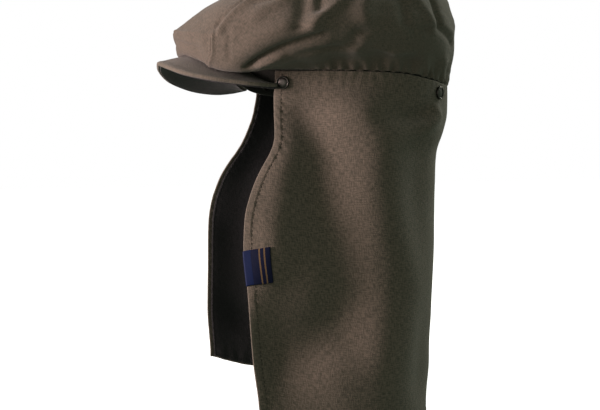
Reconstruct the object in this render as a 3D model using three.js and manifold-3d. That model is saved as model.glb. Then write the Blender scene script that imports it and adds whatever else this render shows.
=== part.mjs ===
// Legionnaire cap: a baggy cloth crown on a headband, a short curved peak,
// and a long lined neck cape that is closed onto the headband with four press studs.
// Millimetres, +Z up, front toward -Y, the wearer's left toward +X.
// The origin is the middle of the oval where the head sits, level with the crown seam at the temples.
import * as THREE from "three";
import { mergeVertices } from "three/addons/utils/BufferGeometryUtils.js";
import Module from "manifold-3d";

const wasm = await Module();
wasm.setup();

// Head oval, measured inside the headband
const headLength = 200;
const headWidth = 158;
const headCentre = -5;
const napeFullness = 0.12;

// Thickness of each layer, and the clearance between layers that lie on each other
const bandWall = 2.2;
const crownWall = 1.6;
const capeWall = 1.2;
const liningWall = 1.0;
const peakWall = 3.4;
const peakLiningWall = 1.0;
const labelWall = 1.0;
const layerGap = 0.35;
const bandGap = 0.6;

// Rim of the crown, where it is sewn to the headband
const browRise = 18;
const napeDrop = 13;
const bandBelowSeam = 20;
const bandAboveSeam = 10;

// Crown
const crownSideOverhang = 36;
const crownFrontOverhang = 48;
const crownRearOverhang = 11;
const crownHeight = 104;
const crownTopForward = 6;
const crownProfileLength = 230;
const gatherCount = 20;
const gatherDepth = 1.6;
const crownFoldDepth = 7;
const crownFoldReach = 9;

// Peak
const peakDepth = 57;
const peakWidth = 150;
const peakFromCape = 6;
const peakBelowSeam = 3.5;
const peakFall = 28.5;
const peakCamber = 3;
const peakLiningInset = 1.2;

// Neck cape
const capeBelowSeam = 1.5;
const capeHemWidth = 244;
const capeHemRear = 83;
const capeHemFront = 228;
const capeFrontDrop = 282;
const capeRearExtra = 26;
const capeEdgeFromFront = 32.5;
const capeSweep = 34.5;
const capeFoldDepth = 10;
const capeFoldReach = 24;
const capeFoldsFrom = 22;
const capeFoldsFull = 55;
const liningInset = 1.5;

// Press studs
const studDrop = 9.5;
const studFromEdge = 7;
const studRearTurn = 139;
const studCapDiameter = 11.6;
const studCapHeight = 2.4;
const studPostDiameter = 4;
const studFootDiameter = 8.4;
const studFootHeight = 1.4;
const studHoleClearance = 0.5;

// Ringed face of a stud cap, as shares of its radius and its height
const studRimUp = 0.55;
const studRingOut = 0.84;
const studDishOut = 0.64;
const studDishUp = 0.8;
const studCrownUp = 0.92;

// Side label, folded round the front edge of the near flap
const labelTop = 148;
const labelHeight = 27;
const labelWidth = 21;
const labelRise = 7;
const labelTurnIn = 7;

// Mesh steps
const crownColumns = 76;
const crownRows = 14;
const bandColumns = 60;
const capeColumns = 42;
const capeRows = 11;
const peakColumns = 20;
const peakRows = 5;
const studSides = 12;
const labelRows = 5;

// Rim by degrees from the front: brow and nape are shares of browRise and napeDrop,
// band is the share of bandBelowSeam that the headband reaches below the seam.
const rimTable = [
  { fromFront: 0, brow: 1.0, nape: 0.0, band: 0.42 },
  { fromFront: 24, brow: 0.66, nape: 0.0, band: 0.52 },
  { fromFront: 48, brow: 0.06, nape: 0.0, band: 0.75 },
  { fromFront: 60, brow: 0.0, nape: 0.0, band: 0.9 },
  { fromFront: 75, brow: 0.0, nape: 0.0, band: 1.0 },
  { fromFront: 112, brow: 0.0, nape: 0.12, band: 1.0 },
  { fromFront: 132, brow: 0.0, nape: 0.46, band: 1.0 },
  { fromFront: 152, brow: 0.0, nape: 0.78, band: 1.0 },
  { fromFront: 180, brow: 0.0, nape: 1.0, band: 1.0 },
];

// Crown profile by degrees from the front. tuckOut and lowOut are shares of the way out from the
// seam to the girth; haunchOut, shoulderOut and browOut are shares of the way from the top to the
// girth. The Up columns are shares of crownHeight; tuckUp and lowUp are measured from the seam.
const crownTable = [
  {
    fromFront: 0, tuckOut: 0.45, tuckUp: -0.018, lowOut: 0.79, lowUp: -0.035, girthUp: 0.29,
    haunchOut: 0.9, haunchUp: 0.43, shoulderOut: 0.73, shoulderUp: 0.59, browOut: 0.44, browUp: 0.84,
  },
  {
    fromFront: 22, tuckOut: 0.45, tuckUp: -0.01, lowOut: 0.83, lowUp: -0.03, girthUp: 0.21,
    haunchOut: 0.92, haunchUp: 0.43, shoulderOut: 0.755, shoulderUp: 0.61, browOut: 0.45, browUp: 0.85,
  },
  {
    fromFront: 37, tuckOut: 0.42, tuckUp: -0.03, lowOut: 0.82, lowUp: -0.065, girthUp: 0.14,
    haunchOut: 0.945, haunchUp: 0.44, shoulderOut: 0.79, shoulderUp: 0.64, browOut: 0.47, browUp: 0.87,
  },
  {
    fromFront: 58, tuckOut: 0.34, tuckUp: 0.01, lowOut: 0.72, lowUp: 0.03, girthUp: 0.22,
    haunchOut: 0.96, haunchUp: 0.46, shoulderOut: 0.825, shoulderUp: 0.66, browOut: 0.49, browUp: 0.88,
  },
  {
    fromFront: 74, tuckOut: 0.16, tuckUp: 0.065, lowOut: 0.58, lowUp: 0.11, girthUp: 0.28,
    haunchOut: 0.965, haunchUp: 0.47, shoulderOut: 0.835, shoulderUp: 0.67, browOut: 0.495, browUp: 0.885,
  },
  {
    fromFront: 90, tuckOut: 0.12, tuckUp: 0.085, lowOut: 0.52, lowUp: 0.16, girthUp: 0.33,
    haunchOut: 0.97, haunchUp: 0.48, shoulderOut: 0.845, shoulderUp: 0.68, browOut: 0.51, browUp: 0.89,
  },
  {
    fromFront: 180, tuckOut: 0.2, tuckUp: 0.09, lowOut: 0.62, lowUp: 0.21, girthUp: 0.34,
    haunchOut: 0.975, haunchUp: 0.5, shoulderOut: 0.89, shoulderUp: 0.7, browOut: 0.55, browUp: 0.9,
  },
];
const crestOut = 0.2;
const crestUp = 0.985;

// Where the gathers start and are full, in degrees from the front, and how far up the profile they
// go. Folds fade to nothing between the seam and seamFade, and between crestFade and the top.
const gathersFrom = 56;
const gathersFull = 76;
const gathersUp = 0.3;
const seamFade = 0.08;
const crestFade = 0.85;

// Crown folds: each runs through three places, given by degrees from the front and by the share of
// the way up the profile. depth is a share of crownFoldDepth, inward where negative, and reach is
// a share of crownFoldReach.
const crownFoldTable = [
  {
    fromTurn: 52, fromShare: 0.275, midTurn: 61, midShare: 0.312, toTurn: 78, toShare: 0.337,
    depth: -0.9, reach: 0.8,
  },
  {
    fromTurn: 56, fromShare: 0.25, midTurn: 68, midShare: 0.283, toTurn: 82, toShare: 0.293,
    depth: 0.45, reach: 0.6,
  },
  {
    fromTurn: 54, fromShare: 0.35, midTurn: 66, midShare: 0.38, toTurn: 84, toShare: 0.41,
    depth: 0.45, reach: 1.1,
  },
  {
    fromTurn: 80, fromShare: 0.3, midTurn: 88, midShare: 0.3, toTurn: 95, toShare: 0.36,
    depth: -0.55, reach: 1,
  },
  {
    fromTurn: 92, fromShare: 0.27, midTurn: 97, midShare: 0.3, toTurn: 104, toShare: 0.3,
    depth: 0.4, reach: 1,
  },
  {
    fromTurn: 41, fromShare: 0.45, midTurn: 45, midShare: 0.51, toTurn: 51, toShare: 0.58,
    depth: 0.5, reach: 0.9,
  },
  {
    fromTurn: 38, fromShare: 0.47, midTurn: 43, midShare: 0.53, toTurn: 47, toShare: 0.6,
    depth: -0.4, reach: 0.7,
  },
  {
    fromTurn: 55, fromShare: 0.48, midTurn: 60, midShare: 0.52, toTurn: 66, toShare: 0.56,
    depth: 0.35, reach: 0.9,
  },
  {
    fromTurn: 76, fromShare: 0.4, midTurn: 74, midShare: 0.48, toTurn: 73, toShare: 0.56,
    depth: -0.4, reach: 0.9,
  },
  {
    fromTurn: 79, fromShare: 0.44, midTurn: 84, midShare: 0.5, toTurn: 89, toShare: 0.57,
    depth: 0.45, reach: 1,
  },
  {
    fromTurn: 113, fromShare: 0.52, midTurn: 113, midShare: 0.39, toTurn: 125, toShare: 0.36,
    depth: -0.45, reach: 0.9,
  },
  {
    fromTurn: 132, fromShare: 0.6, midTurn: 134, midShare: 0.39, toTurn: 149, toShare: 0.33,
    depth: -0.6, reach: 0.8,
  },
];

// Peak by the share of the way from its middle to its corner: out is a share of half the width,
// forward a share of the depth, the Fall columns shares of peakFall. The peak hangs a little askew,
// so its edge has a left and a right column.
const peakTable = [
  { across: 0, out: 0.0, forward: 1.0, rootFall: 0.0, leftFall: 0.22, rightFall: 0.22 },
  { across: 0.25, out: 0.38, forward: 0.93, rootFall: 0.08, leftFall: 0.36, rightFall: 0.41 },
  { across: 0.45, out: 0.7, forward: 0.71, rootFall: 0.23, leftFall: 0.58, rightFall: 0.72 },
  { across: 0.62, out: 0.92, forward: 0.33, rootFall: 0.43, leftFall: 0.76, rightFall: 0.96 },
  { across: 0.76, out: 1.0, forward: -0.08, rootFall: 0.61, leftFall: 0.87, rightFall: 1.05 },
  { across: 0.88, out: 0.985, forward: -0.39, rootFall: 0.76, leftFall: 0.92, rightFall: 0.98 },
  { across: 1, out: 0.9, forward: -0.6, rootFall: 0.88, leftFall: 0.93, rightFall: 0.86 },
];

// Cape sections by share of the drop: each is the share of the way from the headband to the hem size.
const capeTable = [
  { drop: 0, wide: 0.0, rear: 0.0, front: 0.0 },
  { drop: 0.09, wide: 0.01, rear: 0.0, front: 0.0 },
  { drop: 0.14, wide: 0.06, rear: 0.14, front: 0.03 },
  { drop: 0.2, wide: 0.15, rear: 0.46, front: 0.15 },
  { drop: 0.3, wide: 0.29, rear: 0.56, front: 0.42 },
  { drop: 0.42, wide: 0.5, rear: 0.6, front: 0.87 },
  { drop: 0.54, wide: 0.68, rear: 0.65, front: 0.95 },
  { drop: 0.75, wide: 0.89, rear: 0.84, front: 0.99 },
  { drop: 1, wide: 1.0, rear: 1.0, front: 1.0 },
];

// Front edges of the cape by share of the drop: near and far are shares of capeSweep.
const edgeTable = [
  { drop: 0, near: 0.0, far: -0.27 },
  { drop: 0.06, near: 0.0, far: -0.26 },
  { drop: 0.12, near: 0.02, far: -0.19 },
  { drop: 0.17, near: 0.04, far: -0.07 },
  { drop: 0.214, near: 0.09, far: 0.06 },
  { drop: 0.25, near: 0.22, far: 0.21 },
  { drop: 0.295, near: 0.45, far: 0.45 },
  { drop: 0.34, near: 0.66, far: 0.65 },
  { drop: 0.38, near: 0.81, far: 0.77 },
  { drop: 0.42, near: 0.92, far: 0.87 },
  { drop: 0.476, near: 0.98, far: 0.95 },
  { drop: 0.53, near: 1.0, far: 0.98 },
  { drop: 0.63, near: 0.94, far: 0.98 },
  { drop: 0.83, near: 0.85, far: 0.97 },
  { drop: 1, near: 0.71, far: 0.88 },
];

// Hem of the cape by share of the way round: fall is the share of capeRearExtra.
const hemTable = [
  { around: 0, fall: 0.0 },
  { around: 0.03, fall: 0.2 },
  { around: 0.09, fall: 0.54 },
  { around: 0.25, fall: 0.8 },
  { around: 0.5, fall: 1.0 },
];

// Cape folds: each runs through three places, given by share of the way round and share of the drop.
// depth is a share of capeFoldDepth, inward where negative; reach is a share of capeFoldReach.
const capeFoldTable = [
  {
    fromAround: 0.04, fromDrop: 0.09, midAround: 0.115, midDrop: 0.36, toAround: 0.13, toDrop: 0.68,
    depth: -0.8, reach: 0.85,
  },
  {
    fromAround: 0.15, fromDrop: 0.15, midAround: 0.2, midDrop: 0.42, toAround: 0.235, toDrop: 0.62,
    depth: 0.6, reach: 1,
  },
  {
    fromAround: 0.235, fromDrop: 0.66, midAround: 0.15, midDrop: 0.77, toAround: 0.08, toDrop: 0.85,
    depth: 0.45, reach: 0.9,
  },
  {
    fromAround: 0.06, fromDrop: 0.74, midAround: 0.1, midDrop: 0.73, toAround: 0.15, toDrop: 0.7,
    depth: -0.35, reach: 0.8,
  },
  {
    fromAround: 0.24, fromDrop: 0.1, midAround: 0.275, midDrop: 0.4, toAround: 0.29, toDrop: 0.85,
    depth: -0.4, reach: 0.9,
  },
  {
    fromAround: 0.5, fromDrop: 0.2, midAround: 0.5, midDrop: 0.6, toAround: 0.5, toDrop: 0.95,
    depth: -0.5, reach: 1.1,
  },
  {
    fromAround: 0.91, fromDrop: 0.16, midAround: 0.89, midDrop: 0.4, toAround: 0.885, toDrop: 0.75,
    depth: -0.7, reach: 0.85,
  },
  {
    fromAround: 0.83, fromDrop: 0.2, midAround: 0.8, midDrop: 0.5, toAround: 0.78, toDrop: 0.7,
    depth: 0.6, reach: 1,
  },
  {
    fromAround: 0.77, fromDrop: 0.72, midAround: 0.85, midDrop: 0.76, toAround: 0.94, toDrop: 0.82,
    depth: 0.4, reach: 0.8,
  },
  {
    fromAround: 0.72, fromDrop: 0.15, midAround: 0.7, midDrop: 0.5, toAround: 0.71, toDrop: 0.85,
    depth: -0.4, reach: 0.9,
  },
];

const fullTurn = 360;
const slopeStep = 1e-3;
const up = new THREE.Vector3(0, 0, 1);
const bandOut = bandWall;
const liningOut = bandOut + bandGap + liningWall;
const capeOut = liningOut + layerGap + capeWall;
const crownSeamOut = bandOut + bandGap + crownWall;
const crownWidth = headWidth + 2 * crownSideOverhang;
const crownLength = headLength + crownFrontOverhang + crownRearOverhang;
const crownCentre = headCentre + (crownRearOverhang - crownFrontOverhang) / 2;

// Value of one column of a table at a key between its rows, on a smooth curve through them.
function valueAt(table, key, name, at) {
  const last = table.length - 1;
  if (at <= table[0][key]) return table[0][name];
  if (at >= table[last][key]) return table[last][name];
  const next = table.findIndex((row) => row[key] > at);
  const slope = (i) => {
    if (i === 0 || i === last) return 0;
    return (table[i + 1][name] - table[i - 1][name]) / (table[i + 1][key] - table[i - 1][key]);
  };
  const before = table[next - 1];
  const after = table[next];
  const span = after[key] - before[key];
  const s = (at - before[key]) / span;
  const blend = s * s * (3 - 2 * s);
  const bend = slope(next - 1) * s * (1 - s) ** 2 - slope(next) * s * s * (1 - s);
  return before[name] * (1 - blend) + after[name] * blend + span * bend;
}

// Degrees from the front, 0 to 180, for a turn that runs all the way round.
function fromFrontOf(turn) {
  const whole = ((turn % fullTurn) + fullTurn) % fullTurn;
  return Math.min(whole, fullTurn - whole);
}

// Point at a turn on an egg-shaped oval, 0 at the front and 90 at the wearer's left.
function ovalPoint(turn, halfWidth, halfLength, centre, fullness, height) {
  const angle = THREE.MathUtils.degToRad(turn);
  const x = halfWidth * Math.sin(angle) * (1 - fullness * Math.cos(angle));
  return new THREE.Vector3(x, centre - halfLength * Math.cos(angle), height);
}

// Point on the head oval, moved outward by a distance.
function headPoint(turn, outward, height) {
  return ovalPoint(
    turn, headWidth / 2 + outward, headLength / 2 + outward, headCentre, napeFullness, height,
  );
}

// Height of the crown seam at a turn.
function seamHeight(turn) {
  const side = fromFrontOf(turn);
  const brow = browRise * valueAt(rimTable, "fromFront", "brow", side);
  return brow - napeDrop * valueAt(rimTable, "fromFront", "nape", side);
}

// Outward direction of a face at a place, from the way it runs across and up.
function normalAt(face, u, v) {
  const across = face(u + slopeStep, v).sub(face(u - slopeStep, v));
  const along = face(u, Math.min(v + slopeStep, 1)).sub(face(u, Math.max(v - slopeStep, 0)));
  return across.cross(along).normalize();
}

// A layer of cloth under a face: its outer side lies below the face, its inner side a wall deeper,
// and its open rims are closed. round joins the last column to the first, pole closes the last row
// to one point, and inset draws the borders in by a share across and a share along.
function clothLayer(face, below, wall, columns, rows, options = {}) {
  const { round = false, pole = false, inset = [0, 0] } = options;
  const positions = [];
  const triangles = [];
  const across = round ? columns : columns + 1;
  const ringRows = pole ? rows : rows + 1;
  const clamp = THREE.MathUtils.clamp;
  for (const depth of [below, below + wall]) {
    for (let j = 0; j < ringRows; j++) {
      for (let i = 0; i < across; i++) {
        const u = clamp(i / columns, inset[0], 1 - inset[0]);
        const v = clamp(j / rows, inset[1], 1 - inset[1]);
        positions.push(...face(u, v).addScaledVector(normalAt(face, u, v), -depth).toArray());
      }
    }
  }
  const layer = across * ringRows;
  const at = (i, j, depth) => depth * layer + j * across + (i % across);
  const quad = (a, b, c, d) => triangles.push(a, b, c, a, c, d);
  for (let j = 0; j < ringRows - 1; j++) {
    for (let i = 0; i < columns; i++) {
      quad(at(i, j, 0), at(i + 1, j, 0), at(i + 1, j + 1, 0), at(i, j + 1, 0));
      quad(at(i, j, 1), at(i, j + 1, 1), at(i + 1, j + 1, 1), at(i + 1, j, 1));
    }
  }
  for (let i = 0; i < columns; i++) {
    quad(at(i, 0, 1), at(i + 1, 0, 1), at(i + 1, 0, 0), at(i, 0, 0));
  }
  if (pole) {
    const crest = face(0, 1);
    const outerPole = positions.length / 3;
    positions.push(crest.x, crest.y, crest.z - below, crest.x, crest.y, crest.z - below - wall);
    const top = ringRows - 1;
    for (let i = 0; i < columns; i++) {
      triangles.push(at(i, top, 0), at(i + 1, top, 0), outerPole);
      triangles.push(at(i + 1, top, 1), at(i, top, 1), outerPole + 1);
    }
  } else {
    for (let i = 0; i < columns; i++) {
      quad(at(i, rows, 0), at(i + 1, rows, 0), at(i + 1, rows, 1), at(i, rows, 1));
    }
  }
  if (!round) {
    for (let j = 0; j < rows; j++) {
      quad(at(0, j, 1), at(0, j, 0), at(0, j + 1, 0), at(0, j + 1, 1));
      quad(at(columns, j, 0), at(columns, j, 1), at(columns, j + 1, 1), at(columns, j + 1, 0));
    }
  }
  const geometry = new THREE.BufferGeometry();
  geometry.setAttribute("position", new THREE.Float32BufferAttribute(positions, 3));
  geometry.setIndex(triangles);
  return geometry;
}

// A closed geometry as a solid that can be joined and cut.
function solidOf(geometry) {
  const bare = geometry.clone();
  bare.deleteAttribute("normal");
  bare.deleteAttribute("uv");
  const merged = mergeVertices(bare);
  const vertProperties = new Float32Array(merged.attributes.position.array);
  const triVerts = new Uint32Array(merged.index.array);
  return new wasm.Manifold(new wasm.Mesh({ numProp: 3, vertProperties, triVerts }));
}

// A solid as a geometry that three.js can show.
function geometryOf(solid) {
  const mesh = solid.getMesh();
  const geometry = new THREE.BufferGeometry();
  geometry.setAttribute("position", new THREE.BufferAttribute(mesh.vertProperties, 3));
  geometry.setIndex(new THREE.BufferAttribute(mesh.triVerts, 1));
  return geometry;
}

// Height that a fold adds at a place: a rounded ridge or valley along a run of straight stretches.
function foldHeight(place, run, reach) {
  const distances = run.slice(1).map((end, i) => {
    const stretch = end.clone().sub(run[i]);
    const away = place.clone().sub(run[i]);
    const share = THREE.MathUtils.clamp(away.dot(stretch) / stretch.lengthSq(), 0, 1);
    return away.addScaledVector(stretch, -share).length();
  });
  const distance = Math.min(...distances) / reach;
  return Math.exp(-distance * distance);
}

// Smooth crown before its folds, at a turn and a share of the way up its profile.
function crownBase(turn, share) {
  const side = fromFrontOf(turn);
  const row = (name) => valueAt(crownTable, "fromFront", name, side);
  const base = seamHeight(turn);
  const seam = headPoint(turn, crownSeamOut, base);
  const girth = ovalPoint(
    turn, crownWidth / 2, crownLength / 2, crownCentre, 0, row("girthUp") * crownHeight,
  );
  const top = new THREE.Vector3(0, -crownTopForward, crownHeight);
  const place = (from, out, height) => {
    const point = from.clone().lerp(girth, out);
    point.z = height;
    return point;
  };
  const profile = new THREE.CatmullRomCurve3([
    seam,
    place(seam, row("tuckOut"), base + row("tuckUp") * crownHeight),
    place(seam, row("lowOut"), base + row("lowUp") * crownHeight),
    girth,
    place(top, row("haunchOut"), row("haunchUp") * crownHeight),
    place(top, row("shoulderOut"), row("shoulderUp") * crownHeight),
    place(top, row("browOut"), row("browUp") * crownHeight),
    place(top, crestOut, crestUp * crownHeight),
    top,
  ]);
  return profile.getPoint(THREE.MathUtils.clamp(share, 0, 1));
}

// How far the crown stands out of its smooth form, by its gathers above the seam and its folds.
function crownRelief(turn, share) {
  const side = fromFrontOf(turn);
  const gathered = THREE.MathUtils.smoothstep(side, gathersFrom, gathersFull);
  const nearSeam = Math.sin(Math.PI * THREE.MathUtils.clamp(share / gathersUp, 0, 1));
  const pucker = Math.cos(THREE.MathUtils.degToRad(turn * gatherCount));
  let relief = gatherDepth * gathered * nearSeam * pucker;
  const girthLength = (Math.PI * (crownWidth + crownLength)) / 2;
  const onCloth = (degrees, along) =>
    new THREE.Vector2((degrees / fullTurn) * girthLength, along * crownProfileLength);
  for (const fold of crownFoldTable) {
    const run = [
      onCloth(fold.fromTurn, fold.fromShare),
      onCloth(fold.midTurn, fold.midShare),
      onCloth(fold.toTurn, fold.toShare),
    ];
    const height = foldHeight(onCloth(side, share), run, fold.reach * crownFoldReach);
    relief += crownFoldDepth * fold.depth * height;
  }
  return relief;
}

// Outer face of the crown: across runs round the head, along runs from the seam to the top.
function crownFace(u, v) {
  const base = (a, b) => crownBase(a * fullTurn, b);
  const { smoothstep } = THREE.MathUtils;
  const fade = smoothstep(v, 0, seamFade) * (1 - smoothstep(v, crestFade, 1));
  return base(u, v).addScaledVector(normalAt(base, u, v), crownRelief(u * fullTurn, v) * fade);
}

// Outer face of the headband.
function bandFace(u, v) {
  const turn = u * fullTurn;
  const below = bandBelowSeam * valueAt(rimTable, "fromFront", "band", fromFrontOf(turn));
  return headPoint(turn, bandOut, seamHeight(turn) - below + (below + bandAboveSeam) * v);
}

// Upper face of the peak: across runs from the right corner to the left, along from the edge to the root.
function peakFace(u, v) {
  const across = 2 * u - 1;
  const row = (name) => valueAt(peakTable, "across", name, Math.abs(across));
  const seat = browRise - peakBelowSeam;
  const rootOut = bandOut + bandGap;
  const cornerTurn = turnAlong(capeSection(0).fromTurn, -peakFromCape);
  const root = headPoint(across * cornerTurn, rootOut, seat - peakFall * row("rootFall"));
  const front = headPoint(0, rootOut, 0).y;
  const edge = new THREE.Vector3(
    (Math.sign(across) * row("out") * peakWidth) / 2,
    front - peakDepth * row("forward"),
    seat - peakFall * row(across > 0 ? "leftFall" : "rightFall"),
  );
  const point = edge.lerp(root, v);
  point.z += peakCamber * Math.sin(Math.PI * v) * (1 - across * across);
  return point;
}

// One level line of the cape, from the near front edge round the nape to the far front edge.
class CapeSection extends THREE.Curve {
  constructor(drop) {
    super();
    const row = (name) => valueAt(capeTable, "drop", name, drop);
    const lerp = THREE.MathUtils.lerp;
    const topLength = headLength / 2 + capeOut;
    this.halfWidth = lerp(headWidth / 2 + capeOut, capeHemWidth / 2, row("wide"));
    this.rear = lerp(topLength, capeHemRear, row("rear"));
    this.front = lerp(topLength, capeHemFront, row("front"));
    this.fullness = napeFullness * (1 - row("front"));
    const edgeTurn = (side) => {
      const start = headLength / 2 - capeEdgeFromFront;
      const forward = start + capeSweep * valueAt(edgeTable, "drop", side, drop);
      return THREE.MathUtils.radToDeg(Math.acos(forward / this.front));
    };
    this.fromTurn = edgeTurn("near");
    this.toTurn = fullTurn - edgeTurn("far");
    this.arcLengthDivisions = 72;
  }

  getPoint(t) {
    const turn = this.fromTurn + (this.toTurn - this.fromTurn) * t;
    const length = Math.cos(THREE.MathUtils.degToRad(turn)) > 0 ? this.front : this.rear;
    return ovalPoint(turn, this.halfWidth, length, headCentre, this.fullness, 0);
  }
}

const sections = new Map();

// Level line of the cape at a share of its drop, worked out once for each share.
function capeSection(drop) {
  if (!sections.has(drop)) sections.set(drop, new CapeSection(drop));
  return sections.get(drop);
}

// Smooth cape before its folds: across runs from near edge to far edge, along from hem to top.
function capeBase(u, v) {
  const drop = 1 - v;
  const around = THREE.MathUtils.clamp(u, 0, 1);
  const section = capeSection(drop);
  const point = section.getPointAt(around);
  if (around !== u) {
    point.addScaledVector(section.getTangentAt(around), (u - around) * section.getLength());
  }
  const top = capeSection(0);
  const topTurn = top.fromTurn + (top.toTurn - top.fromTurn) * around;
  const topHeight = seamHeight(topTurn) - capeBelowSeam;
  const fall = valueAt(hemTable, "around", "fall", Math.min(around, 1 - around));
  const hemHeight = -capeBelowSeam - capeFrontDrop - capeRearExtra * fall;
  point.z = THREE.MathUtils.lerp(topHeight, hemHeight, drop);
  return point;
}

// How far the cape stands out of its smooth form by its folds.
function capeRelief(u, drop) {
  const length = capeSection(drop).getLength();
  const onCloth = (around, down) => new THREE.Vector2(around * length, down * capeFrontDrop);
  let relief = 0;
  for (const fold of capeFoldTable) {
    const run = [
      onCloth(fold.fromAround, fold.fromDrop),
      onCloth(fold.midAround, fold.midDrop),
      onCloth(fold.toAround, fold.toDrop),
    ];
    const height = foldHeight(onCloth(u, drop), run, fold.reach * capeFoldReach);
    relief += capeFoldDepth * fold.depth * height;
  }
  return relief * THREE.MathUtils.smoothstep(drop * capeFrontDrop, capeFoldsFrom, capeFoldsFull);
}

// Outer face of the cape.
function capeFace(u, v) {
  return capeBase(u, v).addScaledVector(normalAt(capeBase, u, v), capeRelief(u, 1 - v));
}

// The turn that lies a distance along the outside of the headband from another turn.
function turnAlong(turn, distance) {
  const perDegree = headPoint(turn, capeOut, 0).distanceTo(headPoint(turn + 1, capeOut, 0));
  return turn + distance / perDegree;
}

// Frame of a press stud: its seat on the outside of the cape, and its axis out of the head oval.
function studFrame(turn) {
  const seat = headPoint(turn, capeOut, seamHeight(turn) - capeBelowSeam - studDrop);
  const ahead = headPoint(turn + 1, capeOut, 0);
  const behind = headPoint(turn - 1, capeOut, 0);
  const axis = ahead.sub(behind).cross(up).normalize();
  return { seat, axis };
}

// Turns a lathe or cylinder, whose axis is +Y, onto a press stud's frame.
function placeOnStud(geometry, turn) {
  const { seat, axis } = studFrame(turn);
  const spin = new THREE.Quaternion().setFromUnitVectors(new THREE.Vector3(0, 1, 0), axis);
  return geometry.applyQuaternion(spin).translate(seat.x, seat.y, seat.z);
}

// Press stud, snapped shut: a ringed cap outside the cape, a post through the layers, a foot inside.
function studGeometry(turn) {
  const cap = studCapDiameter / 2;
  const post = studPostDiameter / 2;
  const foot = studFootDiameter / 2;
  const under = -capeOut - layerGap;
  const profile = [
    new THREE.Vector2(0, under - studFootHeight),
    new THREE.Vector2(foot, under - studFootHeight),
    new THREE.Vector2(foot, under),
    new THREE.Vector2(post, under),
    new THREE.Vector2(post, layerGap),
    new THREE.Vector2(cap, layerGap),
    new THREE.Vector2(cap, layerGap + studRimUp * studCapHeight),
    new THREE.Vector2(studRingOut * cap, layerGap + studCapHeight),
    new THREE.Vector2(studDishOut * cap, layerGap + studDishUp * studCapHeight),
    new THREE.Vector2(0, layerGap + studCrownUp * studCapHeight),
  ];
  return placeOnStud(new THREE.LatheGeometry(profile, studSides), turn);
}

// Cuts the round holes of the press studs through a layer of cloth.
function withStudHoles(geometry) {
  const radius = studPostDiameter / 2 + studHoleClearance;
  const drillLength = 4 * capeOut;
  let solid = solidOf(geometry);
  for (const turn of Object.values(studTurns)) {
    const drill = new THREE.CylinderGeometry(radius, radius, drillLength, studSides);
    solid = solid.subtract(solidOf(placeOnStud(drill, turn)));
  }
  return geometryOf(solid);
}

const studTurns = {
  press_stud_front_left: turnAlong(capeSection(0).fromTurn, studFromEdge),
  press_stud_front_right: turnAlong(capeSection(0).toTurn, -studFromEdge),
  press_stud_rear_left: studRearTurn,
  press_stud_rear_right: fullTurn - studRearTurn,
};

// Label: a strip that lies on the outside of the near flap, turns round its edge and ends inside.
function labelGeometry() {
  const stack = capeWall + layerGap + liningWall;
  const outside = layerGap + labelWall;
  const round = -layerGap - labelWall;
  const path = [
    { along: labelTurnIn, out: -stack - outside },
    { along: round, out: -stack - outside },
    { along: round, out: outside },
    { along: labelWidth / 3, out: outside },
    { along: (2 * labelWidth) / 3, out: outside },
    { along: labelWidth, out: outside },
  ];
  const face = (u, v) => {
    const place = THREE.MathUtils.clamp(u, 0, 1) * (path.length - 1);
    const k = Math.min(Math.floor(place), path.length - 2);
    const along = THREE.MathUtils.lerp(path[k].along, path[k + 1].along, place - k);
    const out = THREE.MathUtils.lerp(path[k].out, path[k + 1].out, place - k);
    const rise = (labelRise * along) / labelWidth;
    const drop = (labelTop + labelHeight * (1 - v) - rise) / capeFrontDrop;
    const share = along / capeSection(drop).getLength();
    return capeFace(share, 1 - drop).addScaledVector(normalAt(capeFace, share, 1 - drop), out);
  };
  return clothLayer(face, 0, labelWall, path.length - 1, labelRows);
}

// Standard material of one finish.
function finish(color, roughness, metalness = 0) {
  return new THREE.MeshStandardMaterial({ color, roughness, metalness });
}

const cap = new THREE.Group();

// Adds one named piece to the cap.
function addPiece(name, geometry, material) {
  const mesh = new THREE.Mesh(geometry, material);
  mesh.name = name;
  cap.add(mesh);
}

addPiece(
  "headband",
  withStudHoles(clothLayer(bandFace, 0, bandWall, bandColumns, 1, { round: true })),
  finish(0x262420, 0.95),
);
addPiece(
  "crown",
  clothLayer(crownFace, 0, crownWall, crownColumns, crownRows, { round: true, pole: true }),
  finish(0x4f463b, 0.92),
);
addPiece("peak", clothLayer(peakFace, 0, peakWall, peakColumns, peakRows), finish(0x46423b, 0.92));
addPiece(
  "peak_lining",
  clothLayer(peakFace, peakWall + layerGap, peakLiningWall, peakColumns, peakRows, {
    inset: [peakLiningInset / peakWidth, peakLiningInset / peakDepth],
  }),
  finish(0x363636, 0.95),
);
addPiece(
  "neck_cape",
  withStudHoles(clothLayer(capeFace, 0, capeWall, capeColumns, capeRows)),
  finish(0x4c4238, 0.93),
);
addPiece(
  "cape_lining",
  withStudHoles(
    clothLayer(capeFace, capeWall + layerGap, liningWall, capeColumns, capeRows, {
      inset: [liningInset / capeHemWidth, liningInset / capeFrontDrop],
    }),
  ),
  finish(0x161616, 0.97),
);
for (const [name, turn] of Object.entries(studTurns)) {
  addPiece(name, studGeometry(turn), finish(0x3a3733, 0.4, 0.8));
}
addPiece("side_label", labelGeometry(), finish(0x14203c, 0.8));

export default cap;
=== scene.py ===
"""Dresses the legionnaire cap: cloth with its folds, seams and stitches, press studs and label.

Metres, +Z up, front toward -Y, the wearer's left toward +X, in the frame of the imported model.
"""

import logging
import math
from dataclasses import dataclass, field
from enum import Enum

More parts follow.
